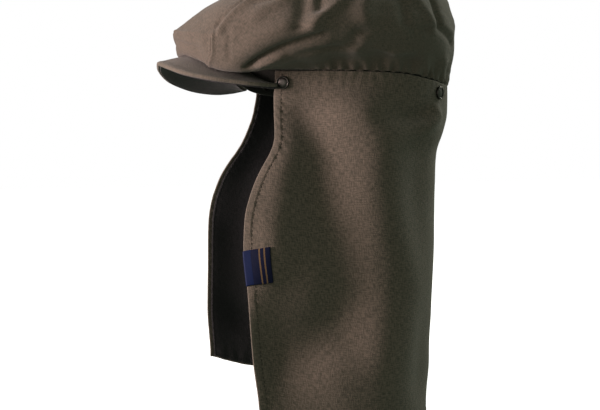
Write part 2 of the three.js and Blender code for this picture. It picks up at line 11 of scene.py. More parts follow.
import bpy
import numpy as np
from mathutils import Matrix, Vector


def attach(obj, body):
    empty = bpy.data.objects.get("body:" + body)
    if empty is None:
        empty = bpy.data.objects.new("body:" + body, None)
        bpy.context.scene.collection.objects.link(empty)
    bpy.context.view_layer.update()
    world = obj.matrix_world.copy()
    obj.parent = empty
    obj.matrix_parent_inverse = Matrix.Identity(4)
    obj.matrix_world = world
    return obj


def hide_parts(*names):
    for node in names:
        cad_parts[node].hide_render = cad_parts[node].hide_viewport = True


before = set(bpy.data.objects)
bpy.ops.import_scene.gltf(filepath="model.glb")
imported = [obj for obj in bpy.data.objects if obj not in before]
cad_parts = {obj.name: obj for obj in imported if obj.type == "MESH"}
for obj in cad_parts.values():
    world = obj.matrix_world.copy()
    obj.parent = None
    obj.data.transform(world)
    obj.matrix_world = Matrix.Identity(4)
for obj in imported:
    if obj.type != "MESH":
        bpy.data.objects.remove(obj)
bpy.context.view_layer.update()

ROOT_BODY = "root"
FULL_TURN = 360.0
UP = np.array([0.0, 0.0, 1.0])
STUD_INSET = 0.007
STUD_REAR_TURN = 139.0
GRADING_STEPS = 4000
LINE_STEPS = 720

Array = np.ndarray
Values = np.ndarray | float
Triple = tuple[float, float, float]
Spots = tuple[Triple, ...]
Material = bpy.types.Material

log = logging.getLogger("legionnaire_cap")


# Shape mathematics


@dataclass(frozen=True)
class Table:
    """Rows of named columns, read along a smooth curve through each column."""

    names: tuple[str, ...]
    rows: tuple[tuple[float, ...], ...]

    def column(self, name: str) -> Array:
        """All values of one column."""
        return np.array(self.rows, float)[:, self.names.index(name)]

    def at(self, name: str, where: Values) -> Array:
        """Reads one column between its rows.

        Args:
            name: the column to read.
            where: places along the first column.

        Returns:
            The column's value at each place.
        """
        keys, values = self.column(self.names[0]), self.column(name)
        slopes = np.zeros_like(values)
        slopes[1:-1] = (values[2:] - values[:-2]) / (keys[2:] - keys[:-2])
        place = np.clip(where, keys[0], keys[-1])
        i = np.clip(np.searchsorted(keys, place, side="right") - 1, 0, len(keys) - 2)
        span = keys[i + 1] - keys[i]
        s = (place - keys[i]) / span
        blend = s * s * (3 - 2 * s)
        bend = slopes[i] * s * (1 - s) ** 2 - slopes[i + 1] * s * s * (1 - s)
        return values[i] * (1 - blend) + values[i + 1] * blend + span * bend


@dataclass(frozen=True)
class Fold:
    """A ridge or valley of cloth along a path of (across, along) places.

    depth is in metres, inward where negative. reach is its half width in metres. lean tips it
    over to one side of its path, and taper is the share of its depth lost by the path's end.
    """

    path: tuple[tuple[float, float], ...]
    depth: float
    reach: float
    lean: float = 0.0
    taper: float = 0.0

    def relief(self, across: Array, along: Array, width: Values, height: float) -> Array:
        """Height that the fold adds.

        Args:
            across: places across, in the path's own measure.
            along: places along, in the path's own measure.
            width: metres for each unit across, one value or one for each place.
            height: metres for each unit along.

        Returns:
            Height in metres at each place.
        """
        nearest = np.full(np.shape(across), np.inf)
        side, run = np.zeros_like(nearest), np.zeros_like(nearest)
        for k, (start, end) in enumerate(zip(self.path[:-1], self.path[1:])):
            step_x, step_y = (end[0] - start[0]) * width, (end[1] - start[1]) * height
            length = np.hypot(step_x, step_y)
            x, y = (across - start[0]) * width, (along - start[1]) * height
            s = np.clip((x * step_x + y * step_y) / length**2, 0, 1)
            x, y = x - s * step_x, y - s * step_y
            away = np.hypot(x, y)
            closer = away < nearest
            nearest = np.where(closer, away, nearest)
            side = np.where(closer, (y * step_x - x * step_y) / length, side)
            run = np.where(closer, (k + s) / (len(self.path) - 1), run)
        shape = np.exp(-((nearest / self.reach) ** 2)) * (1 + self.lean * side / self.reach)
        return self.depth * (1 - self.taper * run) * shape


@dataclass(frozen=True)
class SmoothNoise:
    """Smooth seeded unevenness from -1 to 1, which repeats after one unit across."""

    seed: int
    across: int
    along: int

    def at(self, u: Array, v: Array) -> Array:
        """Unevenness at places given by shares across and along."""
        values = np.random.default_rng(self.seed).uniform(-1, 1, (self.along + 2, self.across))
        x, y = (np.asarray(u) % 1.0) * self.across, np.clip(v, 0, 1) * self.along
        i, j = np.floor(x).astype(int), np.floor(y).astype(int)
        s, t = smooth(x - i), smooth(y - j)
        i, i_next = i % self.across, (i + 1) % self.across
        low = values[j, i] * (1 - s) + values[j, i_next] * s
        high = values[j + 1, i] * (1 - s) + values[j + 1, i_next] * s
        return low * (1 - t) + high * t


def smooth(s: Values) -> Array:
    """Smooth step from 0 to 1."""
    s = np.clip(s, 0, 1)
    return s * s * (3 - 2 * s)


def rise(value: Values, start: float, end: float) -> Array:
    """Smooth step of a value from 0 at start to 1 at end."""
    return smooth((value - start) / (end - start))


def from_front(turn: Values) -> Array:
    """Degrees from the front, 0 to 180, for a turn that runs all the way round."""
    whole = np.mod(turn, FULL_TURN)
    return np.minimum(whole, FULL_TURN - whole)


def unit(vectors: Array) -> Array:
    """Vectors at length one."""
    return vectors / np.maximum(np.linalg.norm(vectors, axis=-1, keepdims=True), 1e-12)


def share_grid(columns: int, rows: int) -> tuple[Array, Array]:
    """Shares across and along at every point of an even grid."""
    return tuple(np.meshgrid(np.linspace(0, 1, columns + 1), np.linspace(0, 1, rows + 1)))


def graded(count: int, spots: Spots) -> Array:
    """Shares from 0 to 1 that lie closer together around some spots.

    Args:
        count: number of steps.
        spots: place, half width and extra density of each spot.

    Returns:
        The shares, one more than the steps.
    """
    fine = np.linspace(0, 1, GRADING_STEPS + 1)
    density = np.ones_like(fine)
    for place, half_width, extra in spots:
        density += extra * np.exp(-(((fine - place) / half_width) ** 2))
    travelled = np.concatenate([[0.0], np.cumsum((density[1:] + density[:-1]) / 2)])
    return np.interp(np.linspace(0, travelled[-1], count + 1), travelled, fine)


def curve_through(points: Array, share: Array) -> Array:
    """Places on centripetal curves through rows of points.

    Args:
        points: control points, with axes (..., point, xyz).
        share: one share of the way along for each curve.

    Returns:
        One place for each curve.
    """
    count = points.shape[-2]
    place = np.clip(share, 0, 1) * (count - 1)
    k = np.minimum(place.astype(int), count - 2)
    w = (place - k)[..., None]
    first = 2 * points[..., :1, :] - points[..., 1:2, :]
    last = 2 * points[..., -1:, :] - points[..., -2:-1, :]
    chain = np.concatenate([first, points, last], axis=-2)
    p0, p1, p2, p3 = (
        np.take_along_axis(chain, (k + step)[..., None, None], axis=-2)[..., 0, :]
        for step in range(4)
    )
    g0, g1, g2 = (
        (np.sum((b - a) ** 2, axis=-1, keepdims=True) + 1e-18) ** 0.25
        for a, b in ((p0, p1), (p1, p2), (p2, p3))
    )
    leave = ((p1 - p0) / g0 - (p2 - p0) / (g0 + g1) + (p2 - p1) / g1) * g1
    arrive = ((p2 - p1) / g1 - (p3 - p1) / (g1 + g2) + (p3 - p2) / g2) * g1
    square = -3 * p1 + 3 * p2 - 2 * leave - arrive
    return p1 + leave * w + square * w**2 + (2 * p1 - 2 * p2 + leave + arrive) * w**3


@dataclass(frozen=True)
class HeadOval:
    """The egg-shaped oval inside the headband, and the rim of the crown above it."""

    length: float = 0.200
    width: float = 0.158
    centre: float = -0.005
    fullness: float = 0.12
    brow_rise: float = 0.018
    nape_drop: float = 0.013
    rim: Table = Table(
        ("side", "brow", "nape", "band"),
        (
            (0, 1.0, 0.0, 0.42),
            (24, 0.66, 0.0, 0.52),
            (48, 0.06, 0.0, 0.75),
            (60, 0.0, 0.0, 0.9),
            (75, 0.0, 0.0, 1.0),
            (112, 0.0, 0.12, 1.0),
            (132, 0.0, 0.46, 1.0),
            (152, 0.0, 0.78, 1.0),
            (180, 0.0, 1.0, 1.0),
        ),
    )

    def point(self, turn: Values, outward: Values, height: Values) -> Array:
        """Point on the oval at a turn, moved outward by a distance, at a height."""
        return oval_point(
            turn, self.width / 2 + outward, self.length / 2 + outward, self.centre,
            self.fullness, height,
        )

    def seam_height(self, turn: Values) -> Array:
        """Height of the crown seam at a turn."""
        side = from_front(turn)
        drop = self.nape_drop * self.rim.at("nape", side)
        return self.brow_rise * self.rim.at("brow", side) - drop

    def turn_along(self, turn: float, distance: float, outward: float) -> float:
        """The turn that lies a distance along the oval from another turn."""
        here, ahead = self.point(turn, outward, 0.0), self.point(turn + 1, outward, 0.0)
        return turn + distance / float(np.linalg.norm(ahead - here))


def oval_point(
    turn: Values,
    half_width: Values,
    half_length: Values,
    centre: float,
    fullness: Values,
    height: Values,
) -> Array:
    """Point at a turn on an oval, 0 at the front and 90 at the wearer's left."""
    angle = np.radians(turn)
    x = half_width * np.sin(angle) * (1 - fullness * np.cos(angle))
    y = centre - half_length * np.cos(angle)
    return np.stack(np.broadcast_arrays(x, y, height + 0 * x), axis=-1)


# Cloth meshes


def wrapped(grid: Array) -> Array:
    """A grid of indices whose first column comes again at its end."""
    return np.concatenate([grid, grid[:, :1]], axis=1)


def grid_quads(grid: Array) -> Array:
    """Faces between the indices of a grid."""
    return np.stack([grid[:-1, :-1], grid[:-1, 1:], grid[1:, 1:], grid[1:, :-1]], axis=-1)


def fan(ring: Array, middle: int, flipped: bool) -> Array:
    """Triangles to a middle from a ring of indices that ends where it starts."""
    low, high = (ring[1:], ring[:-1]) if flipped else (ring[:-1], ring[1:])
    return np.stack([low, high, np.full_like(low, middle)], axis=-1)


@dataclass
class ClothSurface:
    """Outer face of a cloth as a grid of points, columns across and rows along.

    across and along hold the share at which each column and row lies, evenly where left out.
    """

    points: Array
    closed: bool = False
    across: Array | None = None
    along: Array | None = None

    def __post_init__(self) -> None:
        """Spaces columns and rows evenly where no shares are given."""
        rows, columns = self.points.shape[:2]
        if self.across is None:
            self.across = np.linspace(0, 1, columns + self.closed)[:columns]
        if self.along is None:
            self.along = np.linspace(0, 1, rows)

    def normals(self) -> Array:
        """Outward direction at each point of the grid."""
        if self.closed:
            across = np.roll(self.points, -1, axis=1) - np.roll(self.points, 1, axis=1)
        else:
            across = np.gradient(self.points, axis=1)
        return unit(np.cross(across, np.gradient(self.points, axis=0)))

    def lifted(self, height: Values) -> "ClothSurface":
        """The surface moved outward by a height, one value or one for each point."""
        lift = np.asarray(height)[..., None] if np.ndim(height) else height
        return ClothSurface(self.points + self.normals() * lift, self.closed, self.across, self.along)

    def place(self, u: Array, v: Array) -> tuple[Array, Array]:
        """Reads places and outward directions between the grid's points.

        Args:
            u: shares across.
            v: shares along.

        Returns:
            The places, and the outward directions there.
        """
        rows, columns = self.points.shape[:2]
        keys = np.append(self.across, 1.0) if self.closed else self.across
        x = np.interp(np.mod(u, 1.0) if self.closed else u, keys, np.arange(len(keys)))
        y = np.interp(v, self.along, np.arange(rows))
        i = np.clip(np.floor(x).astype(int), 0, columns - (1 if self.closed else 2))
        j = np.clip(np.floor(y).astype(int), 0, rows - 2)
        s, t = (x - i)[..., None], (y - j)[..., None]
        i_next = (i + 1) % columns
        found = []
        for grid in (self.points, self.normals()):
            low = grid[j, i] * (1 - s) + grid[j, i_next] * s
            high = grid[j + 1, i] * (1 - s) + grid[j + 1, i_next] * s
            found.append(low * (1 - t) + high * t)
        return found[0], unit(found[1])


@dataclass
class Piece:
    """Vertices, faces and texture places of one mesh while it is put together."""

    points: list[Array] = field(default_factory=list)
    places: list[Array] = field(default_factory=list)
    wear: list[Array] = field(default_factory=list)
    quads: list[Array] = field(default_factory=list)
    triangles: list[Array] = field(default_factory=list)
    count: int = 0

    def add(self, points: Array, places: Array, wear: Values = 0.0) -> int:
        """Adds vertices.

        Args:
            points: their places, in metres.
            places: their places on the flat cloth, in metres.
            wear: how worn each of them is, from 0 to 1.

        Returns:
            The index of the first one.
        """
        start = self.count
        flat = points.reshape(-1, 3)
        self.points.append(flat)
        self.places.append(places.reshape(-1, 2))
        self.wear.append(np.broadcast_to(wear, points.shape[:-1]).reshape(-1).astype(float))
        self.count += len(flat)
        return start

    def add_spindle(
        self, rings: Array, tips: Array, place: float = 0.0,
        wear: tuple[Values, Values] = (0.0, 0.0),
    ) -> None:
        """Adds a closed round form.

        Args:
            rings: rings of points from its first end to its last.
            tips: its two end points.
            place: where it lies on the flat cloth, in metres across.
            wear: how worn its rings and its tips are.
        """
        count, sides = rings.shape[:2]
        first = self.add(rings, np.tile([[place, 0.0]], (count * sides, 1)), wear[0])
        grid = wrapped(first + np.arange(count * sides).reshape(count, sides))
        self.quads.append(grid_quads(grid))
        tip = self.add(tips, np.zeros((2, 2)), wear[1])
        self.triangles += [fan(grid[0], tip, True), fan(grid[-1], tip + 1, False)]

    def build(self, name: str, material: Material, slot: str) -> bpy.types.Object:
        """Makes the Blender object and sets it on the frame.

        Args:
            name: the object's name.
            material: its finish.
            slot: a material slot's name; not used.

        Returns:
            The object, which rides on the root body.
        """
        corners = [q.reshape(-1, 4) for q in self.quads] + [t.reshape(-1, 3) for t in self.triangles]
        faces = [face for group in corners for face in group.tolist()]
        mesh = bpy.data.meshes.new(name)
        mesh.from_pydata(np.concatenate(self.points).tolist(), [], faces)
        mesh.polygons.foreach_set("use_smooth", np.ones(len(mesh.polygons), bool))
        loops = np.empty(len(mesh.loops), np.int32)
        mesh.loops.foreach_get("vertex_index", loops)
        places = np.concatenate(self.places)[loops].astype(np.float32)
        mesh.uv_layers.new(name="cloth").data.foreach_set("uv", places.ravel())
        worn = mesh.attributes.new("wear", "FLOAT", "POINT")
        worn.data.foreach_set("value", np.concatenate(self.wear).astype(np.float32))
        mesh.materials.append(material)
        mesh.update()
        made = bpy.data.objects.new(name, mesh)
        bpy.context.scene.collection.objects.link(made)
        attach(made, ROOT_BODY)
        log.info("%s: %d vertices, %d faces", name, len(mesh.vertices), len(mesh.polygons))
        return made


@dataclass
class ClothLayer:
    """A layer of cloth with a rounded rim, under an outer face."""

    outer: ClothSurface
    wall: float
    places: Array
    wear: Values = 0.0
    pole: bool = False
    rim_steps: int = 3
    rim_bulge: float = 0.45

    def piece(self) -> Piece:
        """Both faces of the cloth and its rims, as one closed mesh."""
        made = Piece()
        outer = self.outer.points
        inner = outer - self.outer.normals() * self.wall
        rows, columns = outer.shape[:2]
        start = [made.add(outer, self.places, self.wear), made.add(inner, self.places, self.wear)]
        grid = np.arange(rows * columns).reshape(rows, columns)
        if self.outer.closed:
            grid = wrapped(grid)
        quads = grid_quads(grid)
        made.quads += [quads + start[0], quads[..., [0, 3, 2, 1]] + start[1]]
        for border, inside in self.borders(grid):
            self.add_rim(made, start, border, inside)
        if self.pole:
            self.add_pole(made, start, grid[-1])
        return made

    def borders(self, grid: Array) -> list[tuple[Array, Array]]:
        """Open borders as rings of indices, each with the indices one step further in.

        Args:
            grid: indices of the grid's points.

        Returns:
            Pairs of a ring and its inner neighbours, in the order of the outer face's corners.
        """
        if self.outer.closed:
            rings = [(grid[0], grid[1])]
            if not self.pole:
                rings.append((grid[-1][::-1], grid[-2][::-1]))
            return rings
        ring = np.concatenate([grid[0], grid[1:, -1], grid[-1, -2::-1], grid[-2::-1, 0]])
        near = np.concatenate([grid[1], grid[1:, -2], grid[-2, -2::-1], grid[-2::-1, 1]])
        return [(ring, near)]

    def add_rim(self, made: Piece, start: list[int], border: Array, inside: Array) -> None:
        """Closes one border with a rounded rim.

        Args:
            made: the mesh being put together.
            start: index of the first vertex of the outer and of the inner face.
            border: ring of indices along the border.
            inside: indices one step further in.
        """
        outer = self.outer.points.reshape(-1, 3)
        inner = made.points[1]
        out = unit(outer[border] - outer[inside])
        places = self.places.reshape(-1, 2)[border]
        wear = np.broadcast_to(self.wear, self.outer.points.shape[:2]).reshape(-1)[border]
        ladder = [border + start[0]]
        for k in range(1, self.rim_steps):
            angle = math.pi * k / self.rim_steps
            share = (1 - math.cos(angle)) / 2
            level = outer[border] * (1 - share) + inner[border] * share
            level = level + out * self.rim_bulge * self.wall * math.sin(angle)
            first = made.add(level, places, wear)
            ladder.append(np.arange(len(border)) + first)
        ladder.append(border + start[1])
        for low, high in zip(ladder[:-1], ladder[1:]):
            made.quads.append(np.stack([low[1:], low[:-1], high[:-1], high[1:]], axis=-1))

    def add_pole(self, made: Piece, start: list[int], ring: Array) -> None:
        """Closes the last row of both faces with a fan.

        Args:
            made: the mesh being put together.
            start: index of the first vertex of the outer and of the inner face.
            ring: indices of the last row.
        """
        for side, first in enumerate(start):
            points = made.points[side][ring[:-1]]
            middle = made.add(points.mean(axis=0)[None], self.places[-1].mean(axis=0)[None])
            made.triangles.append(fan(ring + first, middle, side == 1))


@dataclass(frozen=True)
class StitchRow:
    """A row of thread stitches that lies along a path on a cloth."""

    length: float = 0.0026
    pitch: float = 0.0035
    radius: float = 0.0003
    sides: int = 6
    rings: int = 4
    sink: float = 0.35
    slimmest: float = 0.05

    def sew(self, made: Piece, points: Array, normals: Array) -> None:
        """Adds the stitches along a path.

        Args:
            made: the mesh that the stitches join.
            points: the path on the cloth.
            normals: the cloth's outward directions along it.
        """
        steps = np.linalg.norm(np.diff(points, axis=0), axis=1)
        travelled = np.concatenate([[0.0], np.cumsum(steps)])
        middles = (np.arange(int(travelled[-1] // self.pitch)) + 0.5) * self.pitch

        def along(values: Array, shift: float = 0.0) -> Array:
            """Reads values of the path beside the stitches' middles."""
            where = middles + shift
            return np.stack([np.interp(where, travelled, values[:, k]) for k in range(3)], axis=-1)

        starts, ends = along(points, -self.length / 2), along(points, self.length / 2)
        out = unit(along(normals))
        side = unit(np.cross(out, ends - starts))
        angles = 2 * math.pi * np.arange(self.sides) / self.sides
        levels = (np.arange(self.rings) + 0.5) / self.rings
        for i, (start, end) in enumerate(zip(starts, ends)):
            round_thread = np.cos(angles)[:, None] * side[i] + np.sin(angles)[:, None] * out[i]
            rings = []
            for s in levels:
                arch = math.sin(math.pi * s)
                middle = start + (end - start) * s + out[i] * self.radius * (arch - self.sink)
                width = self.radius * math.sqrt(max(arch, self.slimmest))
                rings.append(middle + width * round_thread)
            tips = np.array([start, end]) - out[i] * self.radius
            made.add_spindle(np.array(rings), tips, self.length * i)


# Finishes


class NodeBoard:
    """Adds nodes to one material and links them."""

    def __init__(self, name: str) -> None:
        """Starts an empty material with its shader and output."""
        self.material = bpy.data.materials.new(name)
        self.material.use_nodes = True
        self.tree = self.material.node_tree
        self.tree.nodes.clear()
        self.shader = self.node("ShaderNodeBsdfPrincipled")
        output = self.node("ShaderNodeOutputMaterial")
        self.tree.links.new(self.shader.outputs["BSDF"], output.inputs["Surface"])

    def node(self, kind: str, **settings: object) -> bpy.types.Node:
        """Adds a node and sets its own properties."""
        made = self.tree.nodes.new(kind)
        for key, value in settings.items():
            setattr(made, key, value)
        return made

    def feed(self, node: bpy.types.Node, **inputs: object) -> bpy.types.Node:
        """Sets or links a node's inputs, named with underscores or numbered as i0, i1.

        Args:
            node: the node whose inputs are set.
            inputs: values, or output sockets to link.

        Returns:
            The same node.
        """
        for key, value in inputs.items():
            numbered = key[0] == "i" and key[1:].isdigit()
            socket = node.inputs[int(key[1:]) if numbered else key.replace("_", " ")]
            if isinstance(value, bpy.types.NodeSocket):
                self.tree.links.new(value, socket)
            else:
                socket.default_value = value
        return node

    def math(self, operation: str, first: object, second: object = 0.0) -> bpy.types.NodeSocket:
        """Result of a math node."""
        node = self.feed(self.node("ShaderNodeMath", operation=operation), i0=first, i1=second)
        return node.outputs[0]

    def mix(self, share: object, first: object, second: object) -> bpy.types.NodeSocket:
        """Colour between two colours."""
        node = self.node("ShaderNodeMix", data_type="RGBA", clamp_factor=True)
        self.feed(node, i0=share, i6=first, i7=second)
        return node.outputs[2]

    def noise(self, vector: bpy.types.NodeSocket, scale: float, detail: float = 2.0) -> bpy.types.NodeSocket:
        """Value of a noise texture, from 0 to 1."""
        node = self.feed(self.node("ShaderNodeTexNoise"), Vector=vector, Scale=scale, Detail=detail)
        return node.outputs["Fac"]

    def stretched(self, vector: bpy.types.NodeSocket, scale: Triple) -> bpy.types.NodeSocket:
        """A vector multiplied by a scale for each axis."""
        node = self.node("ShaderNodeVectorMath", operation="MULTIPLY")
        return self.feed(node, i0=vector, i1=scale).outputs[0]

    def bump(self, height: bpy.types.NodeSocket, strength: float, distance: float) -> None:
        """Feeds a height into the shader's normal."""
        node = self.feed(
            self.node("ShaderNodeBump"), Strength=strength, Distance=distance, Height=height
        )
        self.tree.links.new(node.outputs["Normal"], self.shader.inputs["Normal"])


@dataclass(frozen=True)
class ClothFinish:
    """Woven cotton: two tones of yarn, slubs, weave relief, mottling, and edges paled toward the worn tone:
    worn edges, which on the peak's front edge are also a painted highlight.
    """

    name: str
    yarn: Triple
    cross_yarn: Triple
    worn: Triple
    thread_pitch: float = 0.0007
    slub: float = 0.5
    slub_gain: float = 6.2
    slub_scale: tuple[float, float] = (1250.0, 210.0)
    mottle: float = 0.25
    mottle_scale: float = 16.0
    wear_scale: float = 420.0
    roughness: float = 0.9
    sheen: float = 0.12
    sheen_roughness: float = 0.6
    specular: float = 0.2
    relief: float = 0.35

    def material(self) -> Material:
        """Builds the finish's material."""
        board = NodeBoard(self.name)
        flat = board.node("ShaderNodeUVMap", uv_map="cloth").outputs["UV"]
        scales = (*self.slub_scale, 1.0), (*self.slub_scale[::-1], 1.0)
        along_yarn, across_yarn = (board.noise(board.stretched(flat, s), 1.0, 4.0) for s in scales)
        yarns = board.math("ADD", along_yarn, across_yarn)
        slubs = board.math("MULTIPLY", board.math("SUBTRACT", yarns, 1.0), self.slub_gain * self.slub)
        solid = board.node("ShaderNodeTexCoord").outputs["Object"]
        patches = board.math("MULTIPLY", board.noise(solid, self.mottle_scale, 3.0), 2 * self.mottle)
        share = board.math("ADD", board.math("ADD", slubs, patches), 0.5 - self.mottle)
        colour = board.mix(share, (*self.cross_yarn, 1.0), (*self.yarn, 1.0))
        # the wear attribute pales the cloth toward its worn tone: rubbed edges, and on the peak's front edge
        # a painted highlight as well
        worn = board.feed(board.node("ShaderNodeAttribute", attribute_name="wear"))
        wear = board.math("MULTIPLY", worn.outputs["Fac"], board.noise(solid, self.wear_scale))
        colour = board.mix(wear, colour, (*self.worn, 1.0))
        split = board.feed(board.node("ShaderNodeSeparateXYZ"), Vector=flat)
        wave = math.pi / self.thread_pitch
        warp, weft = (
            board.math("SINE", board.math("MULTIPLY", split.outputs[axis], wave)) for axis in "XY"
        )
        weave = board.math("MULTIPLY", warp, weft)
        height = board.math("ADD", weave, board.math("MULTIPLY", slubs, 1.5))
        board.bump(height, self.relief, 0.00025)
        rough = board.math("MULTIPLY", share, 0.1)
        rough = board.math("ADD", rough, self.roughness - 0.05)
        board.feed(
            board.shader, Base_Color=colour, Roughness=rough, Sheen_Weight=self.sheen,
            Sheen_Roughness=self.sheen_roughness, Specular_IOR_Level=self.specular,
        )
        return board.material


@dataclass(frozen=True)
class ThreadFinish:
    """Twisted sewing thread."""

    name: str
    colour: Triple

    def material(self) -> Material:
        """Builds the thread's material."""
        board = NodeBoard(self.name)
        solid = board.node("ShaderNodeTexCoord").outputs["Object"]
        fleck = board.noise(solid, 900.0, 2.0)
        dark = tuple(0.6 * c for c in self.colour)
        colour = board.mix(fleck, (*dark, 1.0), (*self.colour, 1.0))
        board.feed(board.shader, Base_Color=colour, Roughness=0.75, Specular_IOR_Level=0.3)
        board.bump(board.noise(solid, 2600.0, 1.0), 0.4, 0.0001)
        return board.material


@dataclass(frozen=True)
class MetalFinish:
    """Gunmetal plating with fine scratches and lighter rubbed places."""

    name: str
    dark: Triple
    rubbed: Triple

    def material(self) -> Material:
        """Builds the metal's material."""
        board = NodeBoard(self.name)
        solid = board.node("ShaderNodeTexCoord").outputs["Object"]
        scratch = board.noise(board.stretched(solid, (300.0, 300.0, 2400.0)), 1.0, 3.0)
        worn = board.node("ShaderNodeAttribute", attribute_name="wear")
        share = board.math("ADD", board.math("MULTIPLY", scratch, 0.35), worn.outputs["Fac"])
        colour = board.mix(share, (*self.dark, 1.0), (*self.rubbed, 1.0))
        rough = board.math("ADD", board.math("MULTIPLY", scratch, 0.25), 0.3)
        board.feed(board.shader, Base_Color=colour, Roughness=rough, Metallic=1.0)
        board.bump(scratch, 0.15, 0.0001)
        return board.material


@dataclass(frozen=True)
class LabelFinish:
    """Woven satin label: navy ground, a painted highlight in paler blue along its turned edge, and two plain
    gold stripes.
    """

    name: str
    ground: Triple = (0.002, 0.0035, 0.019)
    # painted highlight: paler blue over the turn-in, the fold and the first millimetres of the outer leaf,
    # where the fold catches the light
    edge: Triple = (0.003, 0.011, 0.06)
    stripe: Triple = (0.22, 0.13, 0.05)
    fold_highlight_width: float = 0.0055
    stripes: tuple[float, ...] = (0.0125, 0.0165)
    stripe_width: float = 0.0012

    def material(self) -> Material:
        """Builds the label's material."""
        board = NodeBoard(self.name)
        flat = board.node("ShaderNodeUVMap", uv_map="cloth").outputs["UV"]
        split = board.feed(board.node("ShaderNodeSeparateXYZ"), Vector=flat)
        across = split.outputs["X"]
        # painted highlight on the turned edge
        on_fold_highlight = board.math("LESS_THAN", across, self.fold_highlight_width)
        colour = board.mix(on_fold_highlight, (*self.ground, 1.0), (*self.edge, 1.0))
        for middle in self.stripes:
            away = board.math("ABSOLUTE", board.math("SUBTRACT", across, middle))
            on_stripe = board.math("LESS_THAN", away, self.stripe_width / 2)
            colour = board.mix(on_stripe, colour, (*self.stripe, 1.0))
        grain = board.noise(board.stretched(flat, (900.0, 2600.0, 1.0)), 1.0, 2.0)
        shade = board.math("ADD", board.math("MULTIPLY", grain, 0.7), 0.15)
        colour = board.mix(shade, (*self.ground, 1.0), colour)
        board.bump(grain, 0.3, 0.00015)
        rough = board.math("ADD", board.math("MULTIPLY", grain, 0.2), 0.5)
        board.feed(board.shader, Base_Color=colour, Roughness=rough, Specular_IOR_Level=0.12)
        return board.material


@dataclass(frozen=True)
class FloorFinish:
    """Plain pale studio floor."""

    name: str = "pale_floor"
    colour: Triple = (0.6, 0.6, 0.6)
    glow: float = 1.0

    def material(self) -> Material:
        """Builds the floor's material."""
        board = NodeBoard(self.name)
        solid = board.node("ShaderNodeTexCoord").outputs["Object"]
        tone = board.mix(board.noise(solid, 2.0, 2.0), (*self.colour, 1.0), (0.63, 0.63, 0.63, 1.0))
        white = (1.0, 1.0, 1.0, 1.0)
        board.feed(
            board.shader, Base_Color=tone, Roughness=0.9, Emission_Color=white, Emission_Strength=self.glow
        )
        return board.material


@dataclass(frozen=True)
class Wardrobe:
    """All finishes of the cap."""

    shell: Material
    crown: Material
    lining: Material
    peak: Material
    peak_under: Material
    band: Material
    thread: Material
    dark_thread: Material
    metal: Material
    label: Material

    @staticmethod
    def cut() -> "Wardrobe":
        """Makes every finish once."""
        brown, olive, pale = (0.122, 0.092, 0.072), (0.050, 0.041, 0.030), (0.17, 0.14, 0.115)
        return Wardrobe(
            shell=ClothFinish("cape_cotton", brown, olive, pale).material(),
            # painted shade: the crown's brown is darkened to 0.86 of the cape's, a shaded copy of the same
            # cotton
            crown=ClothFinish("crown_cotton", tuple(0.86 * c for c in brown), olive, pale).material(),
            lining=ClothFinish(
                "lining_cotton", (0.020, 0.018, 0.020), (0.010, 0.009, 0.010), (0.045, 0.042, 0.044),
                slub=0.35, sheen=0.05,
            ).material(),
            # painted shade: the peak's brown is darkened to 0.82 of the cape's, a shaded copy of the same
            # cotton
            peak=ClothFinish(
                "peak_cotton", tuple(0.82 * c for c in brown), olive, pale, slub=0.85, mottle=0.4
            ).material(),
            peak_under=ClothFinish(
                "peak_under_cotton", (0.034, 0.027, 0.031), (0.018, 0.014, 0.017), (0.07, 0.062, 0.068)
            ).material(),
            band=ClothFinish(
                "band_cotton", (0.03, 0.028, 0.024), (0.016, 0.015, 0.013), (0.06, 0.055, 0.05)
            ).material(),
            thread=ThreadFinish("brown_thread", (0.042, 0.032, 0.024)).material(),
            dark_thread=ThreadFinish("black_thread", (0.02, 0.02, 0.02)).material(),
            metal=MetalFinish("gunmetal", (0.020, 0.018, 0.017), (0.085, 0.078, 0.072)).material(),
            label=LabelFinish("woven_label").material(),
        )


# The cap's sub-assemblies


class Edge(Enum):
    """A front edge of the cape, by its column in the table of edges."""

    NEAR = "near"
    FAR = "far"


@dataclass(frozen=True)
class Puckers:
    """Small waves of cloth along a seam: their height, spacing and reach, in metres."""

    depth: float
    pitch: float
    reach: float

    def waves(self, run: Array, sway: Array) -> Array:
        """Waves from -1 to 1 at distances along the seam."""
        return np.cos(2 * math.pi * run / self.pitch + sway)

    def fade(self, away: Array) -> Array:
        """Share of the waves that is left at distances away from the seam."""
        return np.exp(-((away / self.reach) ** 2))


@dataclass
class Headband:
    """The oval band that everything is sewn or snapped to."""

    head: HeadOval
    wall: float = 0.0022
    below: float = 0.020
    above: float = 0.010
    rim_wear_and_highlight: float = 0.6
    wear_fade: float = 8.0
    columns: int = 240
    rows: int = 12

    def surface(self) -> ClothSurface:
        """Outer face of the band."""
        turn, up = np.meshgrid(
            np.arange(self.columns) * FULL_TURN / self.columns, np.linspace(0, 1, self.rows + 1)
        )
        below = self.below * self.head.rim.at("band", from_front(turn))
        height = self.head.seam_height(turn) - below + (below + self.above) * up
        return ClothSurface(self.head.point(turn, self.wall, height), closed=True)

    def build(self, wardrobe: Wardrobe) -> None:
        """Makes the band's cloth."""
        outer = self.surface()
        girth = math.pi * (self.head.length + self.head.width) / 2
        u, v = np.meshgrid(np.arange(self.columns) / self.columns, np.linspace(0, 1, self.rows + 1))
        places = np.stack([u * girth, v * (self.below + self.above)], axis=-1)
        wear = self.rim_wear_and_highlight * np.exp(-v * self.wear_fade)
        layer = ClothLayer(outer, self.wall, places, wear)
        made = layer.piece().build("headband_cloth", wardrobe.band, "band_cloth")
        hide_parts("headband")


